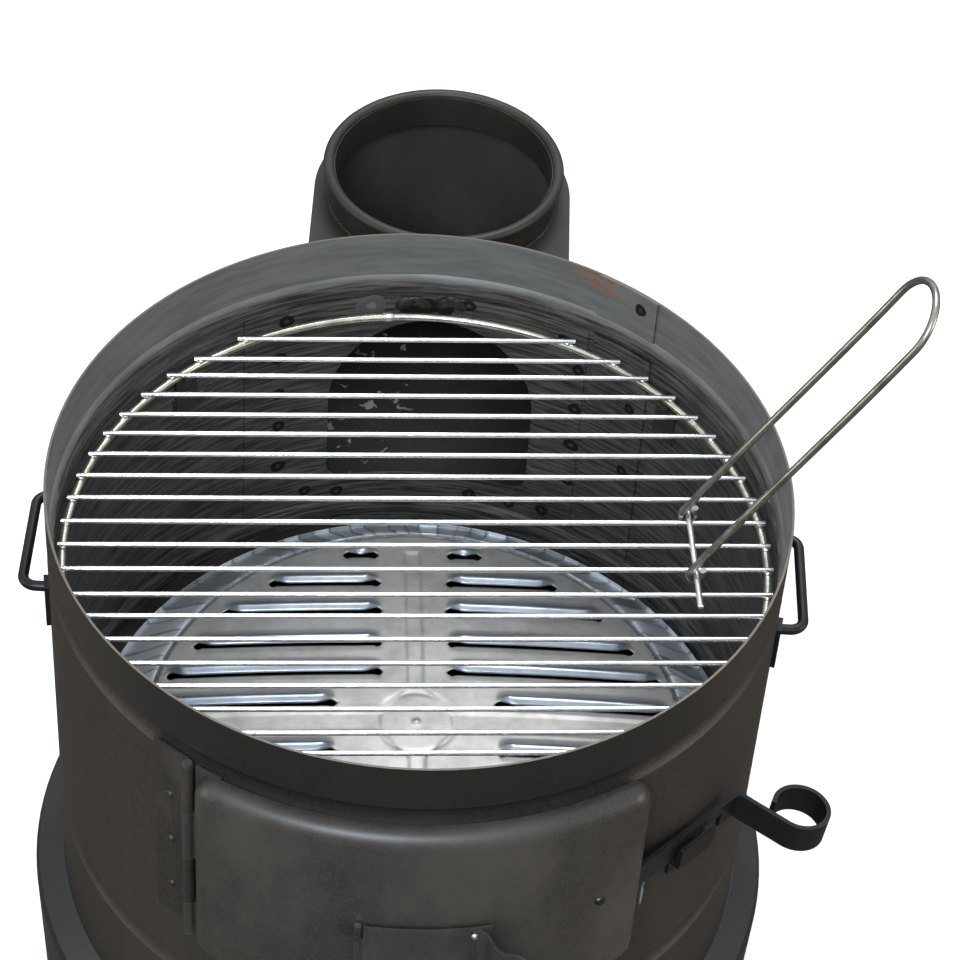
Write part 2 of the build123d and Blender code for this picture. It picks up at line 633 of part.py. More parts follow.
# ---- Side handles: bent bar with flattened ends turned down on the wall ----
def make_side_handle(side, name):
    """Fixed carrying handle on one side of the body."""
    tab_w, tab_h, tab_t = GRIP_TAB
    start_x = side * (BODY_R - WELD_SINK)
    tab_heights = (GRIP_Z - tab_h + GRIP_TAB_RISE, GRIP_Z + GRIP_TAB_RISE)
    with BuildPart() as handle:
        with BuildLine() as bar:
            FilletPolyline(
                (start_x, GRIP_HALF, GRIP_Z),
                (side * GRIP_X, GRIP_HALF, GRIP_Z),
                (side * GRIP_X, -GRIP_HALF, GRIP_Z),
                (start_x, -GRIP_HALF, GRIP_Z),
                radius=GRIP_CORNER,
            )
        with BuildSketch(Plane(origin=bar.line @ 0, z_dir=bar.line % 0)):
            Circle(GRIP_BAR_R)
        sweep()
        tab_turn = math.degrees(math.asin(GRIP_HALF / BODY_R))
        for tab_angle in (90 - tab_turn, 90 + tab_turn):
            half_turn = math.degrees(tab_w / 2 / BODY_R)
            angles = (side * tab_angle - half_turn, side * tab_angle + half_turn)
            sector(BODY_R, BODY_R + tab_t, angles, tab_heights)
        clear_inside(BODY_R)
    finish(handle.part, name)


make_side_handle(1, "side_handle_right")
make_side_handle(-1, "side_handle_left")


# ---- Lugs that carry the grill: bent sheet on the inside of the wall ----
lug_w, lug_h, lug_reach = LUG_SIZE
lug_top_z = RING_Z - RING_WIRE_R - LUG_GAP
for lug_index, lug_angle in enumerate(LUG_ANGLES, start=1):
    lug_turn = math.degrees(lug_w / 2 / BODY_IN_R)
    lug_span = (lug_angle - lug_turn, lug_angle + lug_turn)
    with BuildPart() as grill_lug:
        sector(BODY_IN_R - LUG_T, BODY_IN_R, lug_span, (lug_top_z - lug_h, lug_top_z))
        sector(BODY_IN_R - lug_reach, BODY_IN_R, lug_span, (lug_top_z - LUG_T, lug_top_z))
    finish(grill_lug.part, f"grill_lug_{lug_index}")

# ---- Grill: ring, cross wires, hinge rod and wire handle, all turned a little ----
with BuildPart() as grill_ring:
    with BuildSketch(Plane.XZ):
        with Locations((RING_R, RING_Z)):
            Circle(RING_WIRE_R)
    revolve(axis=Axis.Z)
finish(grill_ring.part, "grill_ring")

grill_x = Vector(math.cos(math.radians(GRILL_TURN)), math.sin(math.radians(GRILL_TURN)), 0)
grill_y = Vector(-grill_x.Y, grill_x.X, 0)
cross_z = RING_Z + RING_WIRE_R + CROSS_WIRE_R
rod_z = cross_z + CROSS_WIRE_R + ROD_R


def grill_point(x, y, z):
    """Place in the row frame of a point given along and across the grill's wires."""
    return grill_x * x + grill_y * y + Vector(0, 0, z)


with BuildPart() as grill_wires:
    for wire_y in CROSS_WIRES_Y:
        wire_half = math.sqrt(CROSS_REACH_R**2 - wire_y**2)
        with BuildSketch(Plane(origin=grill_point(-wire_half, wire_y, cross_z), z_dir=grill_x)) as wire:
            Circle(CROSS_WIRE_R)
        extrude(wire.sketch, amount=2 * wire_half)
finish(grill_wires.part, "grill_wires")

with BuildPart() as grill_hinge_rod:
    with BuildSketch(Plane(origin=grill_point(ROD_X, ROD_Y[0], rod_z), z_dir=grill_y)):
        Circle(ROD_R)
    extrude(amount=ROD_Y[1] - ROD_Y[0])
finish(grill_hinge_rod.part, "grill_hinge_rod")

# The handle's plane holds the rod: x runs up the handle and y along the rod.
rise_cos = math.cos(math.radians(HANDLE_RISE))
rise_sin = math.sin(math.radians(HANDLE_RISE))
handle_up = grill_x * rise_cos + Vector(0, 0, rise_sin)
handle_plane = Plane(
    origin=grill_point(ROD_X, 0, rod_z),
    x_dir=handle_up,
    z_dir=handle_up.cross(grill_y),
)
eye_low, eye_high = HANDLE_EYES_Y
eye_middle = (eye_low + eye_high) / 2
end_r = (eye_high - eye_low) / 2
arm_length = HANDLE_LENGTH - end_r

with BuildPart() as grill_handle:
    for eye_y in HANDLE_EYES_Y:
        arm_start = grill_point(ROD_X, eye_y, rod_z) + handle_up * HANDLE_EYE_R
        with BuildSketch(Plane(origin=arm_start, z_dir=handle_up)) as arm:
            Circle(HANDLE_WIRE_R)
        extrude(arm.sketch, amount=arm_length - HANDLE_EYE_R)
    end_centre = grill_point(ROD_X, eye_middle, rod_z) + handle_up * arm_length
    with BuildSketch(Plane(origin=end_centre, x_dir=grill_y, z_dir=handle_up)) as bend:
        with Locations((-end_r, 0)):
            Circle(HANDLE_WIRE_R)
    revolve(bend.sketch, axis=Axis(end_centre, handle_plane.z_dir), revolution_arc=180)
    for eye_y in HANDLE_EYES_Y:
        with BuildSketch(handle_plane) as eye:
            with Locations((HANDLE_EYE_R, eye_y)):
                Circle(HANDLE_EYE_WIRE_R)
        revolve(eye.sketch, axis=Axis(grill_point(ROD_X, eye_y, rod_z), grill_y))
finish(grill_handle.part, "grill_handle")


# ---- Grate: pressed dish with hooded slots, on a ledge ring ----
# The dish lies a little off the body's axis, within the play that it has in the wall.
grate_turned = Plane.XY.rotated((0, 0, GRATE_TURN))
grate_middle = grate_turned.from_local_coords(Vector(*GRATE_SHIFT, 0))
grate_frame = Plane(origin=grate_middle, x_dir=grate_turned.x_dir, z_dir=(0, 0, 1))
grate_profile_plane = Plane(origin=grate_middle, x_dir=(1, 0, 0), z_dir=(0, -1, 0))
grate_low_z = LEDGE_Z + RUNNING_GAP

with BuildPart() as grate:
    with BuildSketch(grate_profile_plane):
        with BuildLine():
            Polyline(
                (0, GRATE_TOP_Z),
                (GRATE_FLAT_R, GRATE_TOP_Z),
                (GRATE_SKIRT_R, grate_low_z + GRATE_T),
                (GRATE_RIM_R, grate_low_z + GRATE_T),
                (GRATE_RIM_R, grate_low_z),
                (GRATE_SKIRT_R - GRATE_LEAN, grate_low_z),
                (GRATE_FLAT_R - GRATE_LEAN, GRATE_TOP_Z - GRATE_T),
                (0, GRATE_TOP_Z - GRATE_T),
                close=True,
            )
        make_face()
    revolve(axis=Axis(grate_middle, (0, 0, 1)))
    for row_y, inner_x, outer_x in HOOD_ROWS:
        for side_x in (-1, 1):
            for side_y in (-1, 1):
                middle_x = side_x * (inner_x + outer_x) / 2 + HUB_SHIFT[0]
                middle_y = side_y * row_y + HUB_SHIFT[1]
                with BuildSketch(grate_frame.offset(GRATE_TOP_Z - HOOD_SLOT_CUT)) as slot:
                    with Locations((middle_x, middle_y - HOOD_SLOT_SHIFT)):
                        Rectangle(outer_x - inner_x - 2 * HOOD_SLOT_END, HOOD_SLOT)
                extrude(slot.sketch, amount=2 * HOOD_SLOT_CUT, mode=Mode.SUBTRACT)
                hood_start = middle_x - (outer_x - inner_x) / 2
                hood_plane = Plane(
                    origin=grate_frame.from_local_coords(Vector(hood_start, middle_y, GRATE_TOP_Z)),
                    x_dir=grate_frame.y_dir,
                    z_dir=grate_frame.x_dir,
                )
                back_y = HOOD_DEPTH / 2
                swell_z = HOOD_RISE * HOOD_SWELL
                with BuildSketch(hood_plane) as hood:
                    with BuildLine():
                        ThreePointArc((back_y, 0), (0, swell_z), (-back_y, HOOD_RISE))
                        Line((-back_y, HOOD_RISE), (-back_y, HOOD_RISE - GRATE_T))
                        ThreePointArc(
                            (-back_y, HOOD_RISE - GRATE_T),
                            (0, swell_z - GRATE_T),
                            (back_y, -GRATE_T),
                        )
                        Line((back_y, -GRATE_T), (back_y, 0))
                    make_face()
                extrude(hood.sketch, amount=outer_x - inner_x)
                for end_x in (0, outer_x - inner_x - GRATE_T):
                    with BuildSketch(hood_plane.offset(end_x)) as hood_end:
                        with BuildLine():
                            ThreePointArc((back_y, 0), (0, swell_z), (-back_y, HOOD_RISE))
                            Polyline((-back_y, HOOD_RISE), (-back_y, 0), (back_y, 0))
                        make_face()
                    extrude(hood_end.sketch, amount=GRATE_T)
finish(grate.part, "grate")

with BuildPart() as grate_ledge:
    with BuildSketch(Plane.XZ):
        with BuildLine():
            Polyline(
                (BODY_IN_R, LEDGE_Z),
                (LEDGE_IN_R, LEDGE_Z),
                (LEDGE_IN_R, LEDGE_Z - SHEET),
                (BODY_IN_R - SHEET, LEDGE_Z - SHEET),
                (BODY_IN_R - SHEET, LEDGE_Z - LEDGE_DROP),
                (BODY_IN_R, LEDGE_Z - LEDGE_DROP),
                close=True,
            )
        make_face()
    revolve(axis=Axis.Z)
    # The ring is notched where the body's lap seam stands proud of its wall.
    notch_z = (LEDGE_Z - 2 * LEDGE_DROP, LEDGE_Z + LEDGE_DROP)
    sector(BODY_IN_R - SHEET, BODY_R, SEAM_ANGLES, notch_z, mode=Mode.SUBTRACT)
finish(grate_ledge.part, "grate_ledge")

# ---- Base drum and its floor ----
with BuildPart() as base_drum:
    with BuildSketch(Plane.XZ):
        with BuildLine():
            Polyline(
                (DRUM_SEAT_R, SEAT_Z),
                (BODY_R + DRUM_LIP_PLAY, SEAT_Z),
                (DRUM_SHOULDER_R, DRUM_SHOULDER_Z),
                (DRUM_TOP_R, DRUM_TOP_Z),
                (DRUM_FOOT_R, 0),
                (DRUM_FLANGE_R, 0),
                (DRUM_FLANGE_R, SHEET),
                (DRUM_FOOT_R - SHEET, SHEET),
                (DRUM_TOP_R - SHEET, DRUM_TOP_Z - DRUM_EDGE_DROP),
                (DRUM_SHOULDER_R - SHEET, DRUM_SHOULDER_Z - DRUM_FOLD_DROP),
                (BODY_R, SEAT_Z - SHEET),
                (DRUM_SEAT_R, SEAT_Z - SHEET),
                close=True,
            )
        make_face()
    revolve(axis=Axis.Z)
    # Doorway for the ash drawer.
    drawer_gap_z = DRAWER_Z[0] - DRAWER_PLAY
    with BuildSketch(Plane.XY.offset(drawer_gap_z)) as drawer_way:
        with Locations((0, -DRUM_TOP_R)):
            Rectangle(2 * (DRAWER_HALF + DRAWER_PLAY), DRAWER_WAY_DEPTH)
    extrude(drawer_way.sketch, amount=DRAWER_WAY_TOP - drawer_gap_z, mode=Mode.SUBTRACT)
finish(base_drum.part, "base_drum")

with BuildPart() as base_floor:
    disc(FLOOR_R, (0, 0), FLOOR_Z, SHEET)
finish(base_floor.part, "base_floor")


# ---- Ash drawer: tray, curved front, pull and rails ----
def tray_outline(inset):
    """Plan of the tray: straight sides and a front that follows the drum."""
    with BuildSketch(mode=Mode.PRIVATE) as outline:
        with Locations((0, (DRAWER_BACK_Y - DRAWER_FRONT_R) / 2)):
            Rectangle(2 * (DRAWER_HALF - inset), DRAWER_BACK_Y + DRAWER_FRONT_R - 2 * inset)
        Circle(DRAWER_FRONT_R - inset, mode=Mode.INTERSECT)
    return outline.sketch


tray_outside = tray_outline(0)
tray_inside = tray_outline(SHEET)

with BuildPart() as ash_tray:
    with BuildSketch(Plane.XY.offset(DRAWER_Z[0])) as tray_plan:
        add(tray_outside)
    extrude(tray_plan.sketch, amount=DRAWER_Z[1] - DRAWER_Z[0])
    with BuildSketch(Plane.XY.offset(DRAWER_Z[0] + SHEET)) as tray_hollow:
        add(tray_inside)
    extrude(tray_hollow.sketch, amount=DRAWER_Z[1] - DRAWER_Z[0], mode=Mode.SUBTRACT)
finish(ash_tray.part, "ash_tray")

with BuildPart() as drawer_front:
    panel_angles = (-DRAWER_PANEL_ANGLE, DRAWER_PANEL_ANGLE)
    sector(DRAWER_FRONT_R, DRAWER_FRONT_R + SHEET, panel_angles, DRAWER_PANEL_Z)
finish(drawer_front.part, "drawer_front")

with BuildPart() as drawer_pull:
    pull_root_y = -DRAWER_FRONT_R + WELD_SINK
    pull_tip_y = -DRAWER_FRONT_R - PULL_REACH
    with BuildLine() as pull_bar:
        FilletPolyline(
            (-PULL_HALF, pull_root_y, PULL_Z),
            (-PULL_HALF, pull_tip_y, PULL_Z),
            (PULL_HALF, pull_tip_y, PULL_Z),
            (PULL_HALF, pull_root_y, PULL_Z),
            radius=PULL_CORNER,
        )
    with BuildSketch(Plane(origin=pull_bar.line @ 0, z_dir=pull_bar.line % 0)):
        Circle(PULL_R)
    sweep()
    clear_inside(DRAWER_FRONT_R + SHEET)
finish(drawer_pull.part, "drawer_pull")


def make_rail(side, name):
    """Angle rail that guides one side of the tray and carries it on a ledge."""
    post_x = DRAWER_HALF + DRAWER_PLAY + RAIL_GAP
    rail_middle_y = DRAWER_BACK_Y - RAIL_LENGTH / 2 + RAIL_BACK_PLAY
    with BuildPart() as rail:
        with BuildSketch(Plane.XY.offset(FLOOR_Z + SHEET)) as post:
            with Locations((side * (post_x + SHEET / 2), rail_middle_y)):
                Rectangle(SHEET, RAIL_LENGTH)
        extrude(post.sketch, amount=RAIL_H)
        with BuildSketch(Plane.XY.offset(DRAWER_Z[0] - RAIL_LIFT - SHEET)) as ledge:
            with Locations((side * (post_x - RAIL_LEDGE / 2), rail_middle_y)):
                Rectangle(RAIL_LEDGE + SHEET, RAIL_LENGTH)
        extrude(ledge.sketch, amount=SHEET)
    finish(rail.part, name)


make_rail(1, "drawer_rail_right")
make_rail(-1, "drawer_rail_left")
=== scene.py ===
import json
import math
import random

import bpy
from mathutils import Matrix, Vector

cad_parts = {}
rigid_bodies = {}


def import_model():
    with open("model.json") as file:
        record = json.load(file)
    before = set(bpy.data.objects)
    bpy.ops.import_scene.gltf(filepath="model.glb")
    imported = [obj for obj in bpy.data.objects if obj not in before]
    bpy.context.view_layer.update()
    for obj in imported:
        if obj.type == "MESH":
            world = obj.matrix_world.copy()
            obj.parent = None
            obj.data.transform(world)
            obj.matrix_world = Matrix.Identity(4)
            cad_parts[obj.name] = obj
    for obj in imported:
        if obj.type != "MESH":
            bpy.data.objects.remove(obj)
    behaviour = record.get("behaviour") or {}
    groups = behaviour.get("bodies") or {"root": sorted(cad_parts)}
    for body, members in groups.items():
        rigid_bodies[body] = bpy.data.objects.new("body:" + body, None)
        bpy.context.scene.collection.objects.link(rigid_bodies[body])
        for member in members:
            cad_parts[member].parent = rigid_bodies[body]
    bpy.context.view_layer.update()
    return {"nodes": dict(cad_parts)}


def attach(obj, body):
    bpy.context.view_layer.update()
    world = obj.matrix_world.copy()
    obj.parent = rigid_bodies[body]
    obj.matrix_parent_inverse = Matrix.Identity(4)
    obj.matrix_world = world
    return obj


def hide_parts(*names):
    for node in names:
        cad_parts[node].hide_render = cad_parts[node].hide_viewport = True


for leftover in list(bpy.data.objects):
    bpy.data.objects.remove(leftover)

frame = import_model()
nodes = frame["nodes"]
MM = 0.001
random.seed(11)

# ---- Sizes of the stove that several pieces share, in millimetres ----
SHEET_OUT_R = 240.0
SHEET_IN_R = 238.45
PLATE_IN_R = 237.25
SEAM_IN_R = 237.0
FLUE_X = 3.0
FLUE_Y = 358.0
FLUE_HALF = 94.0


# ---- Helpers: node materials ----
class Graph:
    """One node material. Each method adds nodes and gives an output socket."""

    def __init__(self, name):
        self.material = bpy.data.materials.new(name)
        self.material.use_nodes = True
        self.tree = self.material.node_tree
        self.bsdf = self.tree.nodes["Principled BSDF"]
        self.place = self.add("ShaderNodeTexCoord").outputs["Object"]

    def add(self, kind, **settings):
        node = self.tree.nodes.new(kind)
        for key, value in settings.items():
            setattr(node, key, value)
        return node

    def feed(self, socket, value):
        if isinstance(value, bpy.types.NodeSocket):
            self.tree.links.new(value, socket)
        else:
            socket.default_value = value

    def maths(self, operation, *values):
        node = self.add("ShaderNodeMath", operation=operation)
        for socket, value in zip(node.inputs, values):
            self.feed(socket, value)
        return node.outputs[0]

    def axes(self):
        node = self.add("ShaderNodeSeparateXYZ")
        self.feed(node.inputs[0], self.place)
        return node.outputs

    def vector(self, x, y, z):
        node = self.add("ShaderNodeCombineXYZ")
        for socket, value in zip(node.inputs, (x, y, z)):
            self.feed(socket, value)
        return node.outputs[0]

    def product(self, first, *others):
        for value in others:
            first = self.maths("MULTIPLY", first, value)
        return first

    def length(self, x, y):
        squares = [self.maths("POWER", value, 2.0) for value in (x, y)]
        return self.maths("SQRT", self.maths("ADD", *squares))

    def radius(self):
        x, y, _ = self.axes()
        return self.length(x, y)

    def round_wall(self, across, up):
        """Coordinates that run round the axis and up it, each stretched by its own factor."""
        x, y, z = self.axes()
        angle = self.maths("ARCTAN2", x, y)
        return self.vector(self.product(angle, across), self.product(z, up), self.radius())

    def faces_axis(self):
        """1 on faces that look towards the body's axis, 0 on the others."""
        x, y, _ = self.axes()
        dot = self.add("ShaderNodeVectorMath", operation="DOT_PRODUCT")
        self.feed(dot.inputs[0], self.add("ShaderNodeNewGeometry").outputs["Normal"])
        self.feed(dot.inputs[1], self.vector(x, y, 0.0))
        margin = 0.006
        return self.step(dot.outputs["Value"], margin, -margin)

    def stretched(self, x, y, z):
        node = self.add("ShaderNodeMapping")
        self.feed(node.inputs["Vector"], self.place)
        node.inputs["Scale"].default_value = (x, y, z)
        return node.outputs[0]

    def noise(self, vector, scale, detail=4.0, roughness=0.55, distortion=0.0):
        node = self.add("ShaderNodeTexNoise")
        self.feed(node.inputs["Vector"], vector)
        node.inputs["Scale"].default_value = scale
        node.inputs["Detail"].default_value = detail
        node.inputs["Roughness"].default_value = roughness
        node.inputs["Distortion"].default_value = distortion
        return node.outputs["Fac"]

    def cells(self, scale):
        """Distance from the middle of each cell of a cell pattern."""
        node = self.add("ShaderNodeTexVoronoi", feature="F1")
        self.feed(node.inputs["Vector"], self.place)
        node.inputs["Scale"].default_value = scale
        return node.outputs["Distance"]

    def attribute(self, name):
        return self.add("ShaderNodeAttribute", attribute_name=name).outputs["Fac"]

    def step(self, value, low, high, out_low=0.0, out_high=1.0):
        node = self.add("ShaderNodeMapRange", interpolation_type="SMOOTHSTEP")
        self.feed(node.inputs["Value"], value)
        node.inputs["From Min"].default_value = low
        node.inputs["From Max"].default_value = high
        node.inputs["To Min"].default_value = out_low
        node.inputs["To Max"].default_value = out_high
        return node.outputs["Result"]

    def blend(self, factor, first, second):
        node = self.add("ShaderNodeMix", data_type="RGBA")
        self.feed(node.inputs[0], factor)
        self.feed(node.inputs[6], colour(first))
        self.feed(node.inputs[7], colour(second))
        return node.outputs[2]

    def level(self, factor, first, second):
        node = self.add("ShaderNodeMix", data_type="FLOAT")
        self.feed(node.inputs[0], factor)
        self.feed(node.inputs[2], first)
        self.feed(node.inputs[3], second)
        return node.outputs[0]

    def edges(self, radius):
        """1 at edges and corners, 0 on flat faces."""
        bevel = self.add("ShaderNodeBevel", samples=4)
        bevel.inputs["Radius"].default_value = radius
        face = self.add("ShaderNodeNewGeometry").outputs["Normal"]
        dot = self.add("ShaderNodeVectorMath", operation="DOT_PRODUCT")
        self.feed(dot.inputs[0], bevel.outputs[0])
        self.feed(dot.inputs[1], face)
        return self.step(dot.outputs["Value"], 0.99, 0.86)

    def bump(self, height, distance, strength):
        node = self.add("ShaderNodeBump")
        self.feed(node.inputs["Height"], height)
        node.inputs["Distance"].default_value = distance
        node.inputs["Strength"].default_value = strength
        self.feed(self.bsdf.inputs["Normal"], node.outputs[0])

    def finish(self, base, roughness, metallic=0.0, specular=0.5):
        self.feed(self.bsdf.inputs["Base Color"], base)
        self.feed(self.bsdf.inputs["Roughness"], roughness)
        self.feed(self.bsdf.inputs["Metallic"], metallic)
        self.feed(self.bsdf.inputs["Specular IOR Level"], specular)
        return self.material


def linear(channel):
    """The standard curve from a screen value to a linear one."""
    return ((channel + 0.055) / 1.055) ** 2.4 if channel > 0.04045 else channel / 12.92


def colour(value):
    """A screen colour written as a hex string becomes the linear colour that nodes take."""
    if not isinstance(value, str):
        return value
    return tuple(linear(int(value[i:i + 2], 16) / 255) for i in (0, 2, 4)) + (1.0,)


# ---- Materials: sizes of the grain, in cycles per metre, and depths of the bumps, in metres ----
PEEL = 700.0
SAND = 620.0
WEAR = 120.0
PEEL_DEPTH = 0.00012
EDGE_WIDTH = 0.0012


def sanded(g):
    """A sharp sand grain, 0 to 1."""
    return g.step(g.noise(g.place, SAND, 3.0, 0.7), 0.4, 0.66)


def rubbed(g, low, high):
    """Broken wear along the edges, 0 to 1."""
    return g.product(g.edges(EDGE_WIDTH), g.step(g.noise(g.place, WEAR, 3.0), low, high))


def painted(name, main, dusty, worn, gloss, specular):
    """Stove paint: fine orange peel, faint dusty patches, rubbed edges."""
    g = Graph(name)
    patches = g.noise(g.stretched(1, 1, 0.5), 14.0, 5.0, 0.6)
    tone = g.blend(g.step(patches, 0.42, 0.72), main, dusty)
    tone = g.blend(g.product(sanded(g), 0.55), tone, dusty)
    tone = g.blend(g.product(rubbed(g, 0.35, 0.65), 0.75), tone, worn)
    rough = g.level(patches, gloss - 0.06, gloss + 0.12)
    g.bump(g.noise(g.place, PEEL, 2.0), PEEL_DEPTH, 0.35)
    return g.finish(tone, rough, 0.0, specular)


def flue_sheet(name, soot_and_shade_dark, soot_and_shade_light):
    """Flue paint outside, sooty inside, with a few pale flecks low on the left, and painted shade darkening
    the inside just under the box's top.
    """
    inner_reach = (0.0936, 0.0932)
    under_top = (0.4695, 0.4685)
    front_part = (0.36, 0.355)
    fleck_left = (-0.005, -0.02)
    fleck_top = (0.32, 0.30)
    shade_near_top = (0.45, 0.47)
    g = Graph(name)
    x, y, z = g.axes()
    patches = g.noise(g.stretched(1, 1, 0.5), 12.0, 5.0, 0.6)
    outside = g.blend(g.step(patches, 0.42, 0.72), "221f1c", "2e2924")
    behind = g.maths("SUBTRACT", y, FLUE_Y * MM)
    aside = g.maths("SUBTRACT", x, FLUE_X * MM)
    reach = g.length(behind, aside)
    soot_and_shade = g.blend(g.step(patches, 0.35, 0.75), soot_and_shade_dark, soot_and_shade_light)
    flecks = g.step(g.noise(g.place, 85.0, 3.0, 0.5, 0.6), 0.62, 0.66)
    zone = g.product(g.step(x, *fleck_left), g.step(z, *fleck_top))
    soot_and_shade = g.blend(g.product(flecks, zone, 0.5), soot_and_shade, "8d8b88")
    # Painted shade: the inside darkens towards the box's top plate.
    soot_and_shade = g.blend(g.step(z, *shade_near_top), soot_and_shade, "1d1b1a")
    below = g.step(z, *under_top)
    round_part = g.product(g.step(reach, *inner_reach), below)
    between_walls = g.step(g.maths("ABSOLUTE", aside), *inner_reach)
    straight_part = g.product(g.step(y, *front_part), below, between_walls)
    inside = g.maths("MAXIMUM", round_part, straight_part)
    tone = g.blend(inside, outside, soot_and_shade)
    tone = g.blend(g.product(rubbed(g, 0.4, 0.7), 0.5), tone, "4a443c")
    g.bump(g.noise(g.place, PEEL, 2.0), PEEL_DEPTH, 0.35)
    return g.finish(tone, g.level(patches, 0.4, 0.55), 0.0, g.level(inside, 0.4, 0.15))


def shell_steel():
    """The body sheet: stove paint outside, scaled and rubbed sheet inside, a bare cut edge at the rim."""
    band_start = (0.487, 0.494)
    scratch_start = (0.40, 0.50)
    rust_left = (0.095, 0.108)
    rust_right = (0.135, 0.122)
    rust_start = (0.512, 0.522)
    rust_back = (0.1, 0.15)
    under_rim_start = (0.478, 0.50)
    under_rim_front = (-0.12, -0.2)
    rim_top = (0.52985, 0.52995)
    rim_in = (0.236, 0.237)
    g = Graph("body_sheet")
    x, y, z = g.axes()
    patches = g.noise(g.stretched(1, 1, 0.4), 9.0, 5.0, 0.6)

    streaks = g.noise(g.round_wall(1.2, 90.0), 5.0, 6.0, 0.65, 0.4)
    fine = g.noise(g.round_wall(9.0, 900.0), 4.0, 3.0, 0.7)
    wall = g.blend(g.step(streaks, 0.36, 0.66), "1f1e1c", "605e5a")
    wall = g.blend(g.product(g.step(fine, 0.5, 0.85), 0.25), wall, "66625c")
    band = g.product(g.step(z, *band_start), g.step(streaks, 0.2, 0.9, 1.0, 0.7))
    brush = g.noise(g.round_wall(2.0, 60.0), 3.0, 4.0)
    brushed = g.blend(g.step(brush, 0.3, 0.7), "686967", "7b7c7a")
    wall = g.blend(g.product(band, 0.85), wall, brushed)
    scratch = g.noise(g.round_wall(260.0, 6.0), 2.0, 2.0, 0.5, 0.3)
    scratch = g.product(g.step(scratch, 0.7, 0.76), g.step(z, *scratch_start))
    wall = g.blend(g.product(scratch, 0.4), wall, "7d7a75")
    rust = g.step(g.noise(g.round_wall(40.0, 150.0), 1.0, 5.0, 0.7), 0.42, 0.58)
    across = g.product(g.step(x, *rust_left), g.step(x, *rust_right))
    rust_zone = g.product(across, g.product(g.step(z, *rust_start), g.step(y, *rust_back)))
    wall = g.blend(g.product(rust_zone, rust), wall, "8a5a36")

    outside = g.blend(g.step(patches, 0.4, 0.75), "1f1c19", "292521")
    outside = g.blend(g.product(sanded(g), 0.5), outside, "3a3530")
    # Painted shade: a dark band on the outside just under the rim, at the front.
    shade_under_rim = g.product(g.step(z, *under_rim_start), g.step(y, *under_rim_front))
    outside = g.blend(g.product(shade_under_rim, 0.6), outside, "0e0d0c")

    inner = g.faces_axis()
    tone = g.blend(inner, outside, wall)
    chips = g.step(g.noise(g.round_wall(30.0, 1.0), 3.0, 4.0), 0.3, 0.5)
    rim = g.product(g.step(z, *rim_top), g.step(g.radius(), *rim_in), chips)
    tone = g.blend(rim, tone, "5d574c")
    rough = g.level(inner, g.level(patches, 0.42, 0.58), g.level(streaks, 0.38, 0.6))
    metal = g.level(inner, g.product(rim, 0.5), 0.3)
    g.bump(g.level(inner, g.noise(g.place, PEEL, 2.0), fine), 0.00015, 0.4)
    return g.finish(tone, rough, metal, 0.42)


def wire_steel(name, light, dull, rough_low, rough_high):
    g = Graph(name)
    clouds = g.noise(g.place, 60.0, 4.0, 0.6)
    tone = g.blend(g.step(clouds, 0.35, 0.75), light, dull)
    rough = g.level(clouds, rough_low, rough_high)
    g.bump(g.noise(g.place, 1500.0, 2.0), 0.00006, 0.5)
    return g.finish(tone, rough, 0.92)


def galvanised():
    """Zinc-coated sheet. The attribute is 0 on the flats, up to 1 on the hoods and 2 to 3 on the crimps,
    where it sets each facet's painted light and shade.
    """
    g = Graph("galvanised_sheet")
    spangle = g.cells(130.0)
    grain = g.noise(g.place, 40.0, 5.0, 0.6)
    flat = g.blend(g.step(grain, 0.35, 0.7), "aeaba7", "989590")
    # The hoods take a bluer tone than the flats: a painted reflection of the cool light on the raised metal.
    hood = g.blend(g.step(grain, 0.35, 0.7), "aeb7c2", "939ca7")
    pressed = g.attribute("pressed")
    raised = g.step(pressed, 0.0, 0.8)
    tone = g.blend(raised, flat, hood)
    # On the crimps the colour follows the attribute: painted light and shade on each facet, with painted dark
    # lines at the folds.
    crimp = g.step(pressed, 1.8, 1.9)
    fold = g.blend(g.step(pressed, 2.0, 3.0), "4f5358", "d6dade")
    tone = g.blend(crimp, tone, fold)
    tone = g.blend(g.product(g.step(spangle, 0.1, 0.7), 0.12), tone, "d0cfcc")
    dirt = g.step(g.noise(g.place, 24.0, 6.0, 0.7), 0.55, 0.8)
    tone = g.blend(g.product(dirt, 0.22), tone, "77726b")
    rough = g.level(raised, g.level(grain, 0.36, 0.5), 0.3)
    rough = g.level(crimp, rough, 0.36)
    g.bump(g.noise(g.place, 500.0, 2.0), 0.0001, 0.25)
    return g.finish(tone, rough, g.level(crimp, g.level(raised, 0.6, 0.85), 0.4))


def spot_mark(name, ring, centre):
    """A weld mark: burnt ring round a greyer middle. The attribute runs 0 to 1 from the middle out."""
    g = Graph(name)
    ragged = g.maths("ADD", g.attribute("outward"), g.product(g.noise(g.place, 400.0, 3.0), 0.25))
    band = g.product(g.step(ragged, 0.34, 0.56), g.step(ragged, 1.2, 1.08))
    tone = g.blend(band, centre, ring)
    g.bump(g.noise(g.place, 600.0, 3.0), 0.0002, 0.6)
    return g.finish(tone, g.level(band, 0.35, 0.6), 0.5)


def bead_steel():
    g = Graph("weld_bead")
    scale = g.noise(g.place, 260.0, 4.0, 0.6)
    tone = g.blend(g.step(scale, 0.35, 0.7), "1c1a19", "36332f")
    g.bump(scale, 0.0003, 0.6)
    return g.finish(tone, g.level(scale, 0.35, 0.6), 0.4)


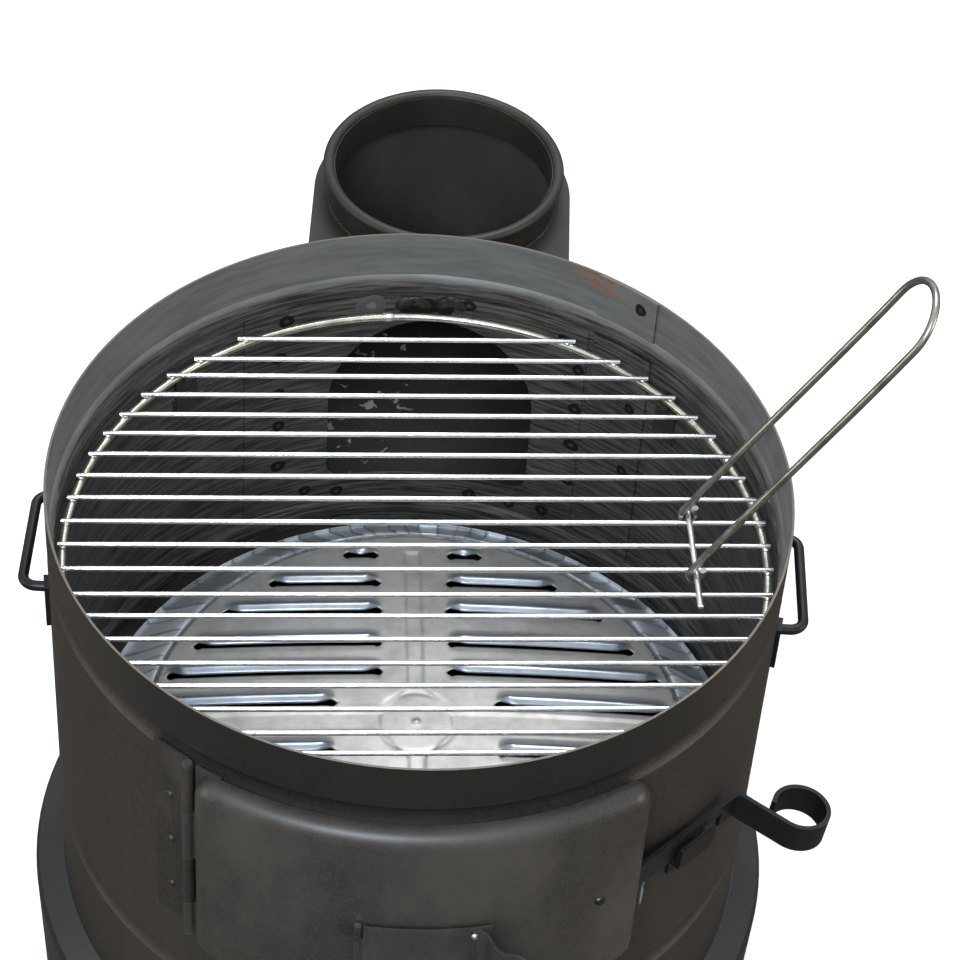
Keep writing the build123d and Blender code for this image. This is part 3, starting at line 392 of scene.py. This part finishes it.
# ---- Helpers: meshes ----
def add_mesh(name, vertices, faces, material, attribute=None, values=None, crease=35.0):
    mesh = bpy.data.meshes.new(name)
    mesh.from_pydata([tuple(v) for v in vertices], [], faces)
    mesh.validate()
    mesh.update()
    mesh.shade_smooth()
    mesh.set_sharp_from_angle(angle=math.radians(crease))
    if attribute:
        layer = mesh.attributes.new(attribute, "FLOAT", "POINT")
        layer.data.foreach_set("value", values)
    piece = bpy.data.objects.new(name, mesh)
    bpy.context.scene.collection.objects.link(piece)
    mesh.materials.append(material)
    return piece


def frames_along(points):
    """A direction and a side vector at each point, turned as little as possible between points."""
    last = len(points) - 1
    result = []
    side = None
    for i in range(len(points)):
        before = points[max(i - 1, 0)]
        after = points[min(i + 1, last)]
        along = (after - before).normalized()
        if side is None:
            side = along.orthogonal().normalized()
        side = (side - along * side.dot(along)).normalized()
        result.append((along, side))
    return result


def ring_quads(ring, sides):
    """The faces between two rings of vertices. The second ring's numbers follow the first's."""
    start = ring * sides
    pairs = [(start + k, start + (k + 1) % sides) for k in range(sides)]
    return [(a, b, b + sides, a + sides) for a, b in pairs]


def tube(points, radius, sides):
    """Vertices and faces of a round bar along the points, closed with a flat face at each end."""
    vertices = []
    faces = []
    for point, (along, side) in zip(points, frames_along(points)):
        other = along.cross(side)
        for k in range(sides):
            turn = 2 * math.pi * k / sides
            vertices.append(point + (side * math.cos(turn) + other * math.sin(turn)) * radius)
    for i in range(len(points) - 1):
        faces += ring_quads(i, sides)
    faces.append(tuple(reversed(range(sides))))
    last = (len(points) - 1) * sides
    faces.append(tuple(range(last, last + sides)))
    return vertices, faces


def join(parts):
    vertices = []
    faces = []
    for part_vertices, part_faces in parts:
        start = len(vertices)
        vertices += part_vertices
        faces += [tuple(start + i for i in face) for face in part_faces]
    return vertices, faces


def lump(centre, sizes, axes, rings, sides, ripple):
    """A slightly uneven drop of metal."""
    vertices = []
    faces = []
    x, y, z = axes
    for i in range(1, rings):
        tilt = math.pi * i / rings
        for k in range(sides):
            turn = 2 * math.pi * k / sides
            swell = 1 + random.uniform(-ripple, ripple)
            vertices.append(centre + swell * (
                x * (sizes[0] * math.sin(tilt) * math.cos(turn))
                + y * (sizes[1] * math.sin(tilt) * math.sin(turn))
                + z * (sizes[2] * math.cos(tilt))))
    top = len(vertices)
    vertices.append(centre + z * sizes[2])
    vertices.append(centre - z * sizes[2])
    for i in range(rings - 2):
        for k in range(sides):
            a = i * sides + k
            b = i * sides + (k + 1) % sides
            faces.append((a, a + sides, b + sides, b))
    for k in range(sides):
        faces.append((top, k, (k + 1) % sides))
        low = (rings - 2) * sides
        faces.append((top + 1, low + (k + 1) % sides, low + k))
    return vertices, faces


def around(angle, radius, z):
    """A point in metres. The angle is measured from the front towards +X, the rest is in millimetres."""
    turn = math.radians(angle)
    return Vector((radius * math.sin(turn), -radius * math.cos(turn), z)) * MM


def weld_bead(points, width, height, outward):
    """Overlapping scallops along the points. outward gives the wall's normal at a point."""
    parts = []
    for i, point in enumerate(points[:-1]):
        along = (points[i + 1] - point).normalized()
        normal = outward(point).normalized()
        across = normal.cross(along).normalized()
        swell = random.uniform(0.88, 1.1)
        sizes = (width * 0.75 * swell, width * 0.5 * swell, height * swell)
        parts.append(lump(point, sizes, (along, across, normal), 6, 10, 0.05))
    return join(parts)


# ---- Materials on the CAD nodes ----
door_paint = painted("door_paint", "292623", "3d3934", "4c463e", 0.38, 0.5)
base_paint = painted("base_paint", "191a1b", "262728", "3b3935", 0.38, 0.45)
flue_paint = flue_sheet("flue_paint", "3b3835", "4b4744")
# The box's floor takes much darker, sooty colours that also paint the shade inside the box, seen through the
# arch.
flue_floor_soot_and_shade = flue_sheet("flue_floor_soot_and_shade", "131211", "221f1d")
lug_paint = painted("fitting_paint", "1f1c19", "3a3530", "423c35", 0.44, 0.42)
black_paint = painted("black_satin", "0d0e10", "17181a", "3b3a39", 0.34, 0.32)
body_paint = shell_steel()
pin_steel = wire_steel("fastener_steel", "8b8882", "5c5955", 0.32, 0.5)
rivet_steel = wire_steel("latch_rivet_steel", "4a4744", "33312f", 0.34, 0.5)
chrome = wire_steel("grill_plating", "fbfaf8", "dedddb", 0.12, 0.24)
ring_zinc = wire_steel("ring_zinc", "dcdccb", "a9a995", 0.2, 0.36)
handle_zinc = wire_steel("handle_zinc", "a2a29b", "747268", 0.22, 0.38)
zinc_sheet = galvanised()
weld_metal = wire_steel("weld_points", "e6e6e2", "a7a7a0", 0.25, 0.45)
mark_steel = spot_mark("weld_mark", "100f0f", "403d3b")
burnt_steel = spot_mark("burnt_mark", "0c0b0b", "191817")
pale_steel = spot_mark("pale_mark", "5a5855", "7c7a77")
bead_metal = bead_steel()

# Each finish with the nodes that wear it.
finishes = (
    (body_paint, ("body_shell", "flue_plate")),
    (door_paint, ("door_panel", "hinge_door_leaf", "draft_flap", "flap_tab")),
    (lug_paint, ("hinge_body_leaf", "hinge_rivets", "flap_lugs", "grate_ledge")),
    (lug_paint, ("grill_lug_1", "grill_lug_2", "grill_lug_3", "grill_lug_4")),
    (black_paint, ("latch_keeper", "latch_lever", "side_handle_left", "side_handle_right", "drawer_pull")),
    (flue_paint, ("flue_box", "flue_box_top", "flue_collar")),
    (flue_floor_soot_and_shade, ("flue_box_bottom",)),
    (base_paint, ("base_drum", "base_floor", "ash_tray", "drawer_front")),
    (base_paint, ("drawer_rail_left", "drawer_rail_right")),
    (pin_steel, ("hinge_pin", "flap_pin", "latch_spacer")),
    (weld_metal, ("flap_rivet",)),
    (rivet_steel, ("latch_rivet",)),
    (ring_zinc, ("grill_ring",)),
    (chrome, ("grill_wires", "grill_hinge_rod")),
)
for finish, node_names in finishes:
    for node_name in node_names:
        for material_slot in nodes[node_name].material_slots:
            material_slot.material = finish

# ---- Grate: pressed zinc sheet with hooded louvres and a crimped skirt, in millimetres ----
GRATE_TURN = math.radians(3.35)
HUB = (7.0, 6.5)
RIM_CENTRE = (5.5, 1.5)
FLAT_R = 188.0
FLAT_TOP = 283.6
DOME = 10.0
SHEET_T = 1.0
GRID = 1.5
# The pressed cross.
CROSS_DEPTH = 0.8
CROSS_EDGE = 1.4
SPINE_HALF = 5.6
SPINE_REACH = 172.0
SPINE_FLARE = 26.0
SPINE_FLARE_REACH = 40.0
ARM_HALF = 8.5
ARM_REACH = 182.0
HUB_RING_R = 27.0
HUB_RING_DEPTH = 0.5
HUB_DIMPLE_R = 2.2
HUB_DIMPLE_RISE = 1.6
# The louvres. A slot has a round hole at each end, a lip in front and a hood behind.
SLOT_SETBACK = 5.4
SLOT_GAP = 1.8
HOLE_R = 3.0
LIP_REACH = 8.0
LIP_DROP = 0.5
HOOD_RISE = 5.2
HOOD_BACK = 14.5
SHORT_HOOD_BACK = 9.5
SHORT_LOUVRE_HALF = 20.0
HOOD_BULGE = 1.3
# One entry for each row of louvres on either side of the middle: y, inner x, outer x.
LOUVRES = (
    (22.0, 55.8, 180.0),
    (51.4, 23.0, 176.0),
    (79.5, 23.6, 157.6),
    (112.1, 22.9, 137.5),
    (141.2, 24.1, 105.0),
    (171.4, 25.4, 50.9),
)
# The skirt: radius and height from the flat's edge down to the rolled rim.
SKIRT_PROFILE = (
    *((187.0, -0.9), (188.4, -1.3), (189.6, -0.3), (191.5, 0.2), (195.0, -1.9)),
    *((201.0, -6.0), (207.5, -10.6), (214.0, -15.3), (220.0, -19.6), (224.5, -23.0)),
    *((227.0, -25.2), (228.5, -25.4), (228.8, -24.2), (228.3, -23.0)),
)
SKIRT_STEPS = 1080
CRIMP_START = 189.6
CRIMP_RISE = 1.25
CRIMP_TURNS = (0.042, 0.084)


def smooth(value, low, high):
    t = min(1.0, max(0.0, (value - low) / (high - low)))
    return t * t * (3 - 2 * t)


def dome(x, y):
    return -DOME * (x * x + y * y) / (FLAT_R * FLAT_R)


def grate_place(x, y, z, out=0.0):
    """A point given from the hub, or from the rim's centre where out is 1, or from between them."""
    c = math.cos(GRATE_TURN)
    s = math.sin(GRATE_TURN)
    x = x + HUB[0] + (RIM_CENTRE[0] - HUB[0]) * out
    y = y + HUB[1] + (RIM_CENTRE[1] - HUB[1]) * out
    return Vector((c * x - s * y, s * x + c * y, z)) * MM


def pressing(x, y):
    """Height of the shallow pressed cross: a spine along Y, two arms along X and a round hub."""
    flare = max(0.0, SPINE_FLARE - abs(y) * 0.8) * smooth(SPINE_FLARE_REACH - abs(y), 0.0, 6.0)
    spine = smooth(SPINE_HALF + flare - abs(x), -CROSS_EDGE, CROSS_EDGE)
    spine *= smooth(SPINE_REACH - abs(y), 0.0, 5.0)
    arm = smooth(ARM_HALF - abs(y), -CROSS_EDGE, CROSS_EDGE)
    arm *= smooth(ARM_REACH - abs(x), 0.0, 5.0)
    from_hub = math.hypot(x, y)
    ring = math.exp(-((from_hub - HUB_RING_R) / 1.6) ** 2) * HUB_RING_DEPTH
    dimple = math.exp(-(from_hub / HUB_DIMPLE_R) ** 2) * HUB_DIMPLE_RISE
    return -CROSS_DEPTH * max(spine, arm) - ring + dimple


def near_louvre(x, y):
    """The point's distance from its slot's end, half the slot's length, and its distance behind the slot."""
    for row_y, inner, outer in LOUVRES:
        for sign in (-1, 1):
            behind = y - (sign * row_y - SLOT_SETBACK)
            if -LIP_REACH < behind < HOOD_BACK + 2 and inner < abs(x) < outer:
                half = (outer - inner) / 2
                return half - abs(abs(x) - inner - half), half, behind
    return None


def slot_half(from_end):
    """Half the slot's width: a round hole at the end, then a narrow gap."""
    if from_end >= 2 * HOLE_R:
        return SLOT_GAP
    hole = math.sqrt(max(0.0, HOLE_R ** 2 - (from_end - HOLE_R) ** 2))
    return max(hole, SLOT_GAP * smooth(from_end, 0.0, 2 * HOLE_R))


def grate_point(x, y, front_side):
    """A point of the sheet, and how far its hood is raised. front_side tells a slot's two lips apart."""
    z = FLAT_TOP + dome(x, y) + pressing(x, y)
    louvre = near_louvre(x, y)
    if not louvre:
        return grate_place(x, y, z), 0.0
    from_end, half, behind = louvre
    hole = slot_half(from_end)
    if front_side or behind < 0:
        fade = 1 - smooth(-behind, 0.0, LIP_REACH)
        return grate_place(x, y - hole * fade, z - LIP_DROP * fade * smooth(from_end, 0.0, 5.0)), 0.0
    fade = 1 - smooth(behind, 0.0, 9.0)
    recede = hole * fade * (1 - smooth(from_end, 4.0, 12.0))
    bulge = -HOOD_BULGE * fade * smooth(from_end, 5.0, 16.0)
    lift = smooth(from_end, 0.5, 11.0) ** 0.7
    back = HOOD_BACK if half > SHORT_LOUVRE_HALF else SHORT_HOOD_BACK
    raised = lift * (1 - smooth(behind, 3.0, back)) * (0.42 + 0.58 * smooth(behind, -0.5, 5.5))
    return grate_place(x, y + recede + bulge, z + HOOD_RISE * raised), raised


def grate_sheet():
    """A grid over the flat. Its lines follow the slots, where the vertices are doubled to open the sheet."""
    columns = [-FLAT_R + i * GRID for i in range(int(2 * FLAT_R / GRID) + 2)]
    slots = sorted(sign * row[0] - SLOT_SETBACK for row in LOUVRES for sign in (-1, 1))
    marks = [-FLAT_R - 1.0] + slots + [FLAT_R + 1.0]
    lines = []
    for low, high in zip(marks, marks[1:]):
        count = max(1, round((high - low) / GRID))
        lines += [low + (high - low) * i / count for i in range(count)]
    lines.append(marks[-1])
    vertices = []
    pressed = []
    index = {}

    def vertex(i, j, front_side):
        x, y = columns[i], lines[j]
        louvre = near_louvre(x, y)
        on_slot = louvre and abs(louvre[2]) < 1e-6
        key = (i, j, bool(front_side and on_slot))
        if key not in index:
            reach = math.hypot(x, y)
            if reach > FLAT_R:
                x, y = x * FLAT_R / reach, y * FLAT_R / reach
            point, raised = grate_point(x, y, key[2])
            index[key] = len(vertices)
            vertices.append(point)
            pressed.append(raised)
        return index[key]

    faces = []
    for i in range(len(columns) - 1):
        for j in range(len(lines) - 1):
            corners = [(columns[i + di], lines[j + dj]) for di in (0, 1) for dj in (0, 1)]
            if sum(math.hypot(*corner) <= FLAT_R for corner in corners) < 3:
                continue
            front = (vertex(i, j, False), vertex(i + 1, j, False))
            faces.append(front + (vertex(i + 1, j + 1, True), vertex(i, j + 1, True)))
    return vertices, faces, pressed


def skirt_sheet():
    """The crimped cone from the flat's edge down to the rolled rim."""
    crimps = []
    turn = 0.0
    while turn < 2 * math.pi - 0.03:
        crimps.append((turn, random.uniform(-1.0, 1.0), random.uniform(-1.0, 1.0), random.random()))
        turn += random.uniform(*CRIMP_TURNS)
    vertices = []
    pressed = []
    faces = []
    count = len(SKIRT_PROFILE)
    for i in range(SKIRT_STEPS):
        angle = 2 * math.pi * i / SKIRT_STEPS
        current = max(k for k in range(len(crimps)) if crimps[k][0] <= angle)
        start, offset, tilt, shade = crimps[current]
        end = crimps[current + 1][0] if current + 1 < len(crimps) else 2 * math.pi
        through = (angle - start) / (end - start)
        fold = offset * math.sin(math.pi * through) ** 0.35 + tilt * (through - 0.5) * 2.4
        line = smooth(min(through, 1 - through), 0.0, 0.09)
        for radius, drop in SKIRT_PROFILE:
            amount = smooth(radius, CRIMP_START, 197.0) * (1 - smooth(radius, 225.0, 228.2))
            height = FLAT_TOP - DOME + drop + fold * amount * CRIMP_RISE
            out = smooth(radius, FLAT_R, 222.0)
            vertices.append(grate_place(radius * math.cos(angle), radius * math.sin(angle), height, out))
            # Painted light and shade: each crimp's facet gets its own brightness, darker along the crimps'
            # edges and at the flat's edge.
            tone = (0.35 + 0.65 * shade) * smooth(radius, 189.2, 190.6) * (0.25 + 0.75 * line)
            pressed.append(2.0 + tone)
        following = (i + 1) % SKIRT_STEPS
        for k in range(count - 1):
            here = i * count + k
            there = following * count + k
            faces.append((here, here + 1, there + 1, there))
    return vertices, faces, pressed


flat_vertices, flat_faces, flat_pressed = grate_sheet()
skirt_vertices, skirt_faces, skirt_pressed = skirt_sheet()
grate_vertices, grate_faces = join([(flat_vertices, flat_faces), (skirt_vertices, skirt_faces)])
grate_pressed = flat_pressed + skirt_pressed
grate = add_mesh("grate_pressing", grate_vertices, grate_faces, zinc_sheet, "pressed", grate_pressed, 50.0)
thickness = grate.modifiers.new("sheet", "SOLIDIFY")
thickness.thickness = SHEET_T * MM
thickness.offset = -1.0
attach(grate, "grate_body")
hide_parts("grate")

# ---- Grill handle: bent wire with an open hook round the rod at each end, in millimetres ----
GRILL_TURN = math.radians(4.4)
ROD_X = 181.6
ROD_Z = 468.25
EYE_R = 4.9
LOW_EYE_Y = -25.0
HIGH_EYE_Y = 29.6
BOW_R = (HIGH_EYE_Y - LOW_EYE_Y) / 2
HANDLE_LENGTH = 256.9
ARM_LENGTH = HANDLE_LENGTH - BOW_R
HANDLE_RISE = math.radians(60.5)
HANDLE_WIRE_R = 2.5
HOOK_END = math.radians(8.0)
NEAR_TAIL = 3.0
FAR_TAIL = 5.0
HOOK_STEPS = 14
ARM_STEPS = 12
BOW_STEPS = 24
ALONG_ARM = Vector((math.cos(HANDLE_RISE), 0, math.sin(HANDLE_RISE)))
OFF_ARM = Vector((-math.sin(HANDLE_RISE), 0, math.cos(HANDLE_RISE)))


def grill_place(x, y, z):
    c = math.cos(GRILL_TURN)
    s = math.sin(GRILL_TURN)
    return Vector((c * x - s * y, s * x + c * y, z)) * MM


def handle_side(y, tail):
    """Points from the cut end of the hook, under the rod and up the arm, in the grill's own frame."""
    rod = Vector((ROD_X, y, ROD_Z))
    cut_x = EYE_R * math.cos(HOOK_END) - tail * 0.25
    points = [rod + Vector((cut_x, 0, EYE_R * math.sin(HOOK_END) + tail))]
    hook_start = 2 * math.pi + HOOK_END
    hook_stop = math.pi / 2 + HANDLE_RISE
    for i in range(HOOK_STEPS + 1):
        turn = hook_start + (hook_stop - hook_start) * i / HOOK_STEPS
        points.append(rod + Vector((EYE_R * math.cos(turn), 0, EYE_R * math.sin(turn))))
    for i in range(1, ARM_STEPS + 1):
        t = i / ARM_STEPS
        points.append(rod + OFF_ARM * EYE_R * (1 - smooth(t, 0.0, 1.0)) + ALONG_ARM * (ARM_LENGTH * t))
    return points


near_arm = handle_side(LOW_EYE_Y, NEAR_TAIL)
far_arm = handle_side(HIGH_EYE_Y, FAR_TAIL)
bow_middle = Vector((ROD_X, (LOW_EYE_Y + HIGH_EYE_Y) / 2, ROD_Z)) + ALONG_ARM * ARM_LENGTH
bow = []
for i in range(1, BOW_STEPS):
    turn = math.pi * i / BOW_STEPS
    bow.append(bow_middle + Vector((0, -BOW_R * math.cos(turn), 0)) + ALONG_ARM * (BOW_R * math.sin(turn)))
handle_points = [grill_place(*p) for p in near_arm + bow + list(reversed(far_arm))]
grill_handle = add_mesh("grill_handle_wire", *tube(handle_points, HANDLE_WIRE_R * MM, 16), handle_zinc)
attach(grill_handle, "handle")
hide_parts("grill_handle")

# ---- Grill: weld points where the wires cross the ring and the rod, in millimetres ----
RING_R = 231.2
RING_Z = 460.0
WIRE_WELD_Z = RING_Z + 2.9
ROD_WELD_Z = 466.2
ROD_Y = (-54.0, 38.0)
WIRE_SPACE = 5.0
X_AXIS = Vector((1, 0, 0))
Y_AXIS = Vector((0, 1, 0))
Z_AXIS = Vector((0, 0, 1))


def wire_places():
    """Y of each cross wire in the grill's own frame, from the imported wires."""
    c = math.cos(GRILL_TURN)
    s = math.sin(GRILL_TURN)
    places = sorted((c * v.co.y - s * v.co.x) / MM for v in nodes["grill_wires"].data.vertices)
    starts = [i for i in range(1, len(places)) if places[i] - places[i - 1] > WIRE_SPACE]
    ends = zip([0] + starts, starts + [len(places)])
    return [(places[first] + places[stop - 1]) / 2 for first, stop in ends]


spots = []
for wire_y in wire_places():
    reach = math.sqrt(RING_R ** 2 - wire_y ** 2)
    for sign in (-1, 1):
        centre = grill_place(sign * reach, wire_y, WIRE_WELD_Z)
        outward = Vector((sign * reach, wire_y, 0)).normalized()
        side = Vector((-outward.y, outward.x, 0))
        spots.append(lump(centre, (2.4 * MM, 3.1 * MM, 1.9 * MM), (outward, side, Z_AXIS), 7, 12, 0.08))
    if ROD_Y[0] < wire_y < ROD_Y[1]:
        centre = grill_place(ROD_X, wire_y, ROD_WELD_Z)
        spots.append(lump(centre, (2.3 * MM, 2.4 * MM, 1.5 * MM), (X_AXIS, Y_AXIS, Z_AXIS), 7, 12, 0.08))
joint_angle = math.radians(93.0)
joint_place = grill_place(RING_R * math.cos(joint_angle), RING_R * math.sin(joint_angle), RING_Z)
joint_along = Vector((-math.sin(joint_angle), math.cos(joint_angle), 0))
joint_out = Vector((math.cos(joint_angle), math.sin(joint_angle), 0))
joint_sizes = (6.5 * MM, 3.3 * MM, 3.5 * MM)
spots.append(lump(joint_place, joint_sizes, (joint_along, joint_out, Z_AXIS), 9, 14, 0.06))
grill_welds = add_mesh("grill_weld_points", *join(spots), weld_metal)
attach(grill_welds, "grill")

# ---- Weld marks inside the back wall, in millimetres ----
MARK_SIDES = 28
MARK_DEPTH = 0.45
MARK_GAP = 0.12
MARK_BACK = 0.3
# How far out each ring of a mark lies, and how high it stands.
MARK_RINGS = ((0.0, 0.25), (0.35, 0.3), (0.5, 0.7), (0.68, 0.95), (0.86, 0.55), (1.0, 0.0))


def weld_mark(angle, z, radius, size):
    """A shallow dished disc on the wall, with how far out each vertex is."""
    outward = around(angle, 1.0, 0.0).normalized()
    vertices = []
    faces = []
    outs = []
    squash = random.uniform(0.85, 1.12)
    for out, height in MARK_RINGS:
        for k in range(MARK_SIDES):
            turn = 2 * math.pi * k / MARK_SIDES
            wobble = 1 + 0.06 * math.sin(3 * turn + angle) + random.uniform(-0.02, 0.02)
            across = out * size * wobble * squash * math.cos(turn)
            up = out * size * wobble * math.sin(turn)
            place = angle + math.degrees(across / radius)
            vertices.append(around(place, radius - MARK_GAP - MARK_DEPTH * height, z + up))
            outs.append(out)
    last_ring = len(MARK_RINGS) - 1
    for ring in range(last_ring):
        faces += ring_quads(ring, MARK_SIDES)
    rim_start = last_ring * MARK_SIDES
    back = len(vertices)
    vertices += [rim_point + outward * MARK_BACK * MM for rim_point in vertices[rim_start:]]
    outs += [1.0] * MARK_SIDES
    faces += ring_quads(last_ring, MARK_SIDES)
    faces.append(tuple(back + k for k in reversed(range(MARK_SIDES))))
    return vertices, faces, outs


# Each mark is its angle, height, the wall's radius there and its own radius.
MARKS = (
    *((206.5, z, PLATE_IN_R, 5.4) for z in (429, 394, 362, 321)),
    *((153.2, z, PLATE_IN_R, 5.4) for z in (435, 397, 361, 325)),
    *((156.5, 459, PLATE_IN_R, 5.0), (201.3, 288, PLATE_IN_R, 5.2), (195.4, 282, PLATE_IN_R, 5.2)),
    *((157.5, 284, PLATE_IN_R, 5.2), (163.8, 281, PLATE_IN_R, 5.0), (171.2, 281, PLATE_IN_R, 5.6)),
    (173.6, 469, PLATE_IN_R, 5.0),
    *((142.6, z, SEAM_IN_R, 4.8) for z in (480, 423, 361)),
    *((205.2, 463, PLATE_IN_R, 5.6), (150.0, 516, SHEET_IN_R, 5.0), (142.7, 517, SEAM_IN_R, 5.0)),
)
BURNS = ((177.8, 466, PLATE_IN_R, 8.6), (183.3, 465, PLATE_IN_R, 9.6), (180.4, 465, PLATE_IN_R - 0.1, 7.0))
PALE_MARKS = ((190.3, 466, PLATE_IN_R, 9.8),)


def wall_marks(name, places, material):
    discs = []
    outs = []
    for angle, z, radius, size in places:
        mark_vertices, mark_faces, mark_outs = weld_mark(angle, z, radius, size)
        discs.append((mark_vertices, mark_faces))
        outs += mark_outs
    piece = add_mesh(name, *join(discs), material, "outward", outs, 60.0)
    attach(piece, "root")


wall_marks("wall_weld_marks", MARKS, mark_steel)
wall_marks("wall_burnt_marks", BURNS, burnt_steel)
wall_marks("wall_pale_mark", PALE_MARKS, pale_steel)

# ---- Weld beads: flue plate, lugs, flue box and collar, in millimetres ----
PLATE_BEADS = ((175.4, 178.6, 468), (181.4, 185.6, 467))
PLATE_BEAD_STEPS = 4
LUG_ANGLES = (45.0, 135.0, -135.0, -45.0)
LUG_HALF = 2.25
LUG_Z = 419.0
LUG_PITCH = 3.2
BOX_Z = 283.0
BOX_PITCH = 3.0
BOX_LUMPS = 62
COLLAR_R = 84.9
COLLAR_Z = 470.5
COLLAR_LUMPS = 150


def from_axis(point):
    return Vector((point.x, point.y, 0))


def towards_axis(point):
    return -from_axis(point)


def from_collar(point):
    return Vector((point.x - FLUE_X * MM, point.y - FLUE_Y * MM, 0.05))


beads = []
for low, high, z in PLATE_BEADS:
    pitch = (high - low) / PLATE_BEAD_STEPS
    line = [around(low + pitch * i, SEAM_IN_R, z + 2.5 * math.sin(i)) for i in range(PLATE_BEAD_STEPS + 1)]
    beads.append(weld_bead(line, 9.5 * MM, 1.6 * MM, towards_axis))
for angle in LUG_ANGLES:
    for side in (-1, 1):
        line = [around(angle + side * LUG_HALF, 238.3, LUG_Z + LUG_PITCH * i) for i in range(5)]
        beads.append(weld_bead(line, 3.4 * MM, 1.3 * MM, towards_axis))
for side in (-1, 1):
    foot_x = FLUE_X + side * FLUE_HALF
    foot_y = math.sqrt(SHEET_OUT_R ** 2 - foot_x ** 2)
    foot = Vector((foot_x + side * 0.4, foot_y + 0.5, BOX_Z))
    line = [(foot + Z_AXIS * (BOX_PITCH * i)) * MM for i in range(BOX_LUMPS)]
    beads.append(weld_bead(line, 3.2 * MM, 1.3 * MM, from_axis))
collar_line = []
for i in range(COLLAR_LUMPS):
    turn = 2 * math.pi * i / (COLLAR_LUMPS - 1)
    collar_x = FLUE_X + COLLAR_R * math.cos(turn)
    collar_line.append(Vector((collar_x, FLUE_Y + COLLAR_R * math.sin(turn), COLLAR_Z)) * MM)
beads.append(weld_bead(collar_line, 2.6 * MM, 0.9 * MM, from_collar))
body_beads = add_mesh("weld_beads", *join(beads), bead_metal)
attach(body_beads, "root")

# ---- Floor, light and camera ----
floor_graph = Graph("studio_floor")
floor_tone = floor_graph.blend(floor_graph.noise(floor_graph.place, 3.0, 3.0), "f7f7f7", "fbfbfb")
floor_material = floor_graph.finish(floor_tone, 0.9, 0.0, 0.1)
FLOOR_REACH = 6.0
FLOOR_Z = -0.0005
floor_corners = [(FLOOR_REACH * x, FLOOR_REACH * y, FLOOR_Z) for x, y in ((-1, -1), (1, -1), (1, 1), (-1, 1))]
floor = add_mesh("studio_floor", floor_corners, [(0, 1, 2, 3)], floor_material)
floor.visible_glossy = False

# The background: dark below, warm at the horizon and cool above.
NADIR = (0.16, 0.145, 0.13, 1.0)
HORIZON = (0.66, 0.6, 0.52, 1.0)
SKY = (0.84, 0.9, 1.0, 1.0)
world = bpy.data.worlds.new("studio")
bpy.context.scene.world = world
world.use_nodes = True
sky = world.node_tree
direction = sky.nodes.new("ShaderNodeTexCoord")
split = sky.nodes.new("ShaderNodeSeparateXYZ")
ramp = sky.nodes.new("ShaderNodeValToRGB")
sky.links.new(direction.outputs["Generated"], split.inputs[0])
sky.links.new(split.outputs["Z"], ramp.inputs["Fac"])
sky.links.new(ramp.outputs["Color"], sky.nodes["Background"].inputs["Color"])
stops = ramp.color_ramp.elements
stops[0].position = 0.0
stops[0].color = NADIR
stops[1].position = 0.7
stops[1].color = SKY
stops.new(0.12).color = HORIZON
sky.nodes["Background"].inputs["Strength"].default_value = 0.95


def soft_light(name, place, target_z, size, power, tint):
    lamp = bpy.data.lights.new(name, "AREA")
    lamp.shape = "DISK"
    lamp.size = size
    lamp.energy = power
    lamp.color = tint
    holder = bpy.data.objects.new(name, lamp)
    holder.location = place
    aim = Vector((0, 0, target_z)) - Vector(place)
    holder.rotation_euler = aim.to_track_quat("-Z", "Y").to_euler()
    bpy.context.scene.collection.objects.link(holder)


soft_light("key", (-0.35, -1.7, 2.3), 0.4, 0.8, 52, (0.8, 0.9, 1.0))
soft_light("top", (0.2, 0.9, 2.5), 0.4, 1.2, 34, (0.95, 0.98, 1.0))
soft_light("warm_right", (1.9, -0.5, 0.8), 0.35, 0.9, 10, (1.0, 0.84, 0.66))
soft_light("warm_left", (-1.9, -0.4, 0.8), 0.35, 0.9, 8, (1.0, 0.88, 0.74))

CAMERA_PLACE = Vector((0.0, -1.4074, 1.9489))
heading = math.radians(1.53)
dip = math.radians(45.17)
roll = math.radians(4.47)
forward = Vector((math.sin(heading) * math.cos(dip), math.cos(heading) * math.cos(dip), -math.sin(dip)))
level_right = forward.cross(Vector((0, 0, 1))).normalized()
base_up = level_right.cross(forward)
right = level_right * math.cos(roll) + base_up * math.sin(roll)
up = base_up * math.cos(roll) - level_right * math.sin(roll)
camera_data = bpy.data.cameras.new("camera")
camera_data.lens = 117.04
camera_data.sensor_width = 36.0
camera_data.clip_end = 30.0
camera = bpy.data.objects.new("camera", camera_data)
placing = Matrix((right, up, -forward)).transposed().to_4x4()
placing.translation = CAMERA_PLACE
camera.matrix_world = placing
bpy.context.scene.collection.objects.link(camera)
bpy.context.scene.camera = camera
bpy.context.scene.view_settings.view_transform = "Standard"
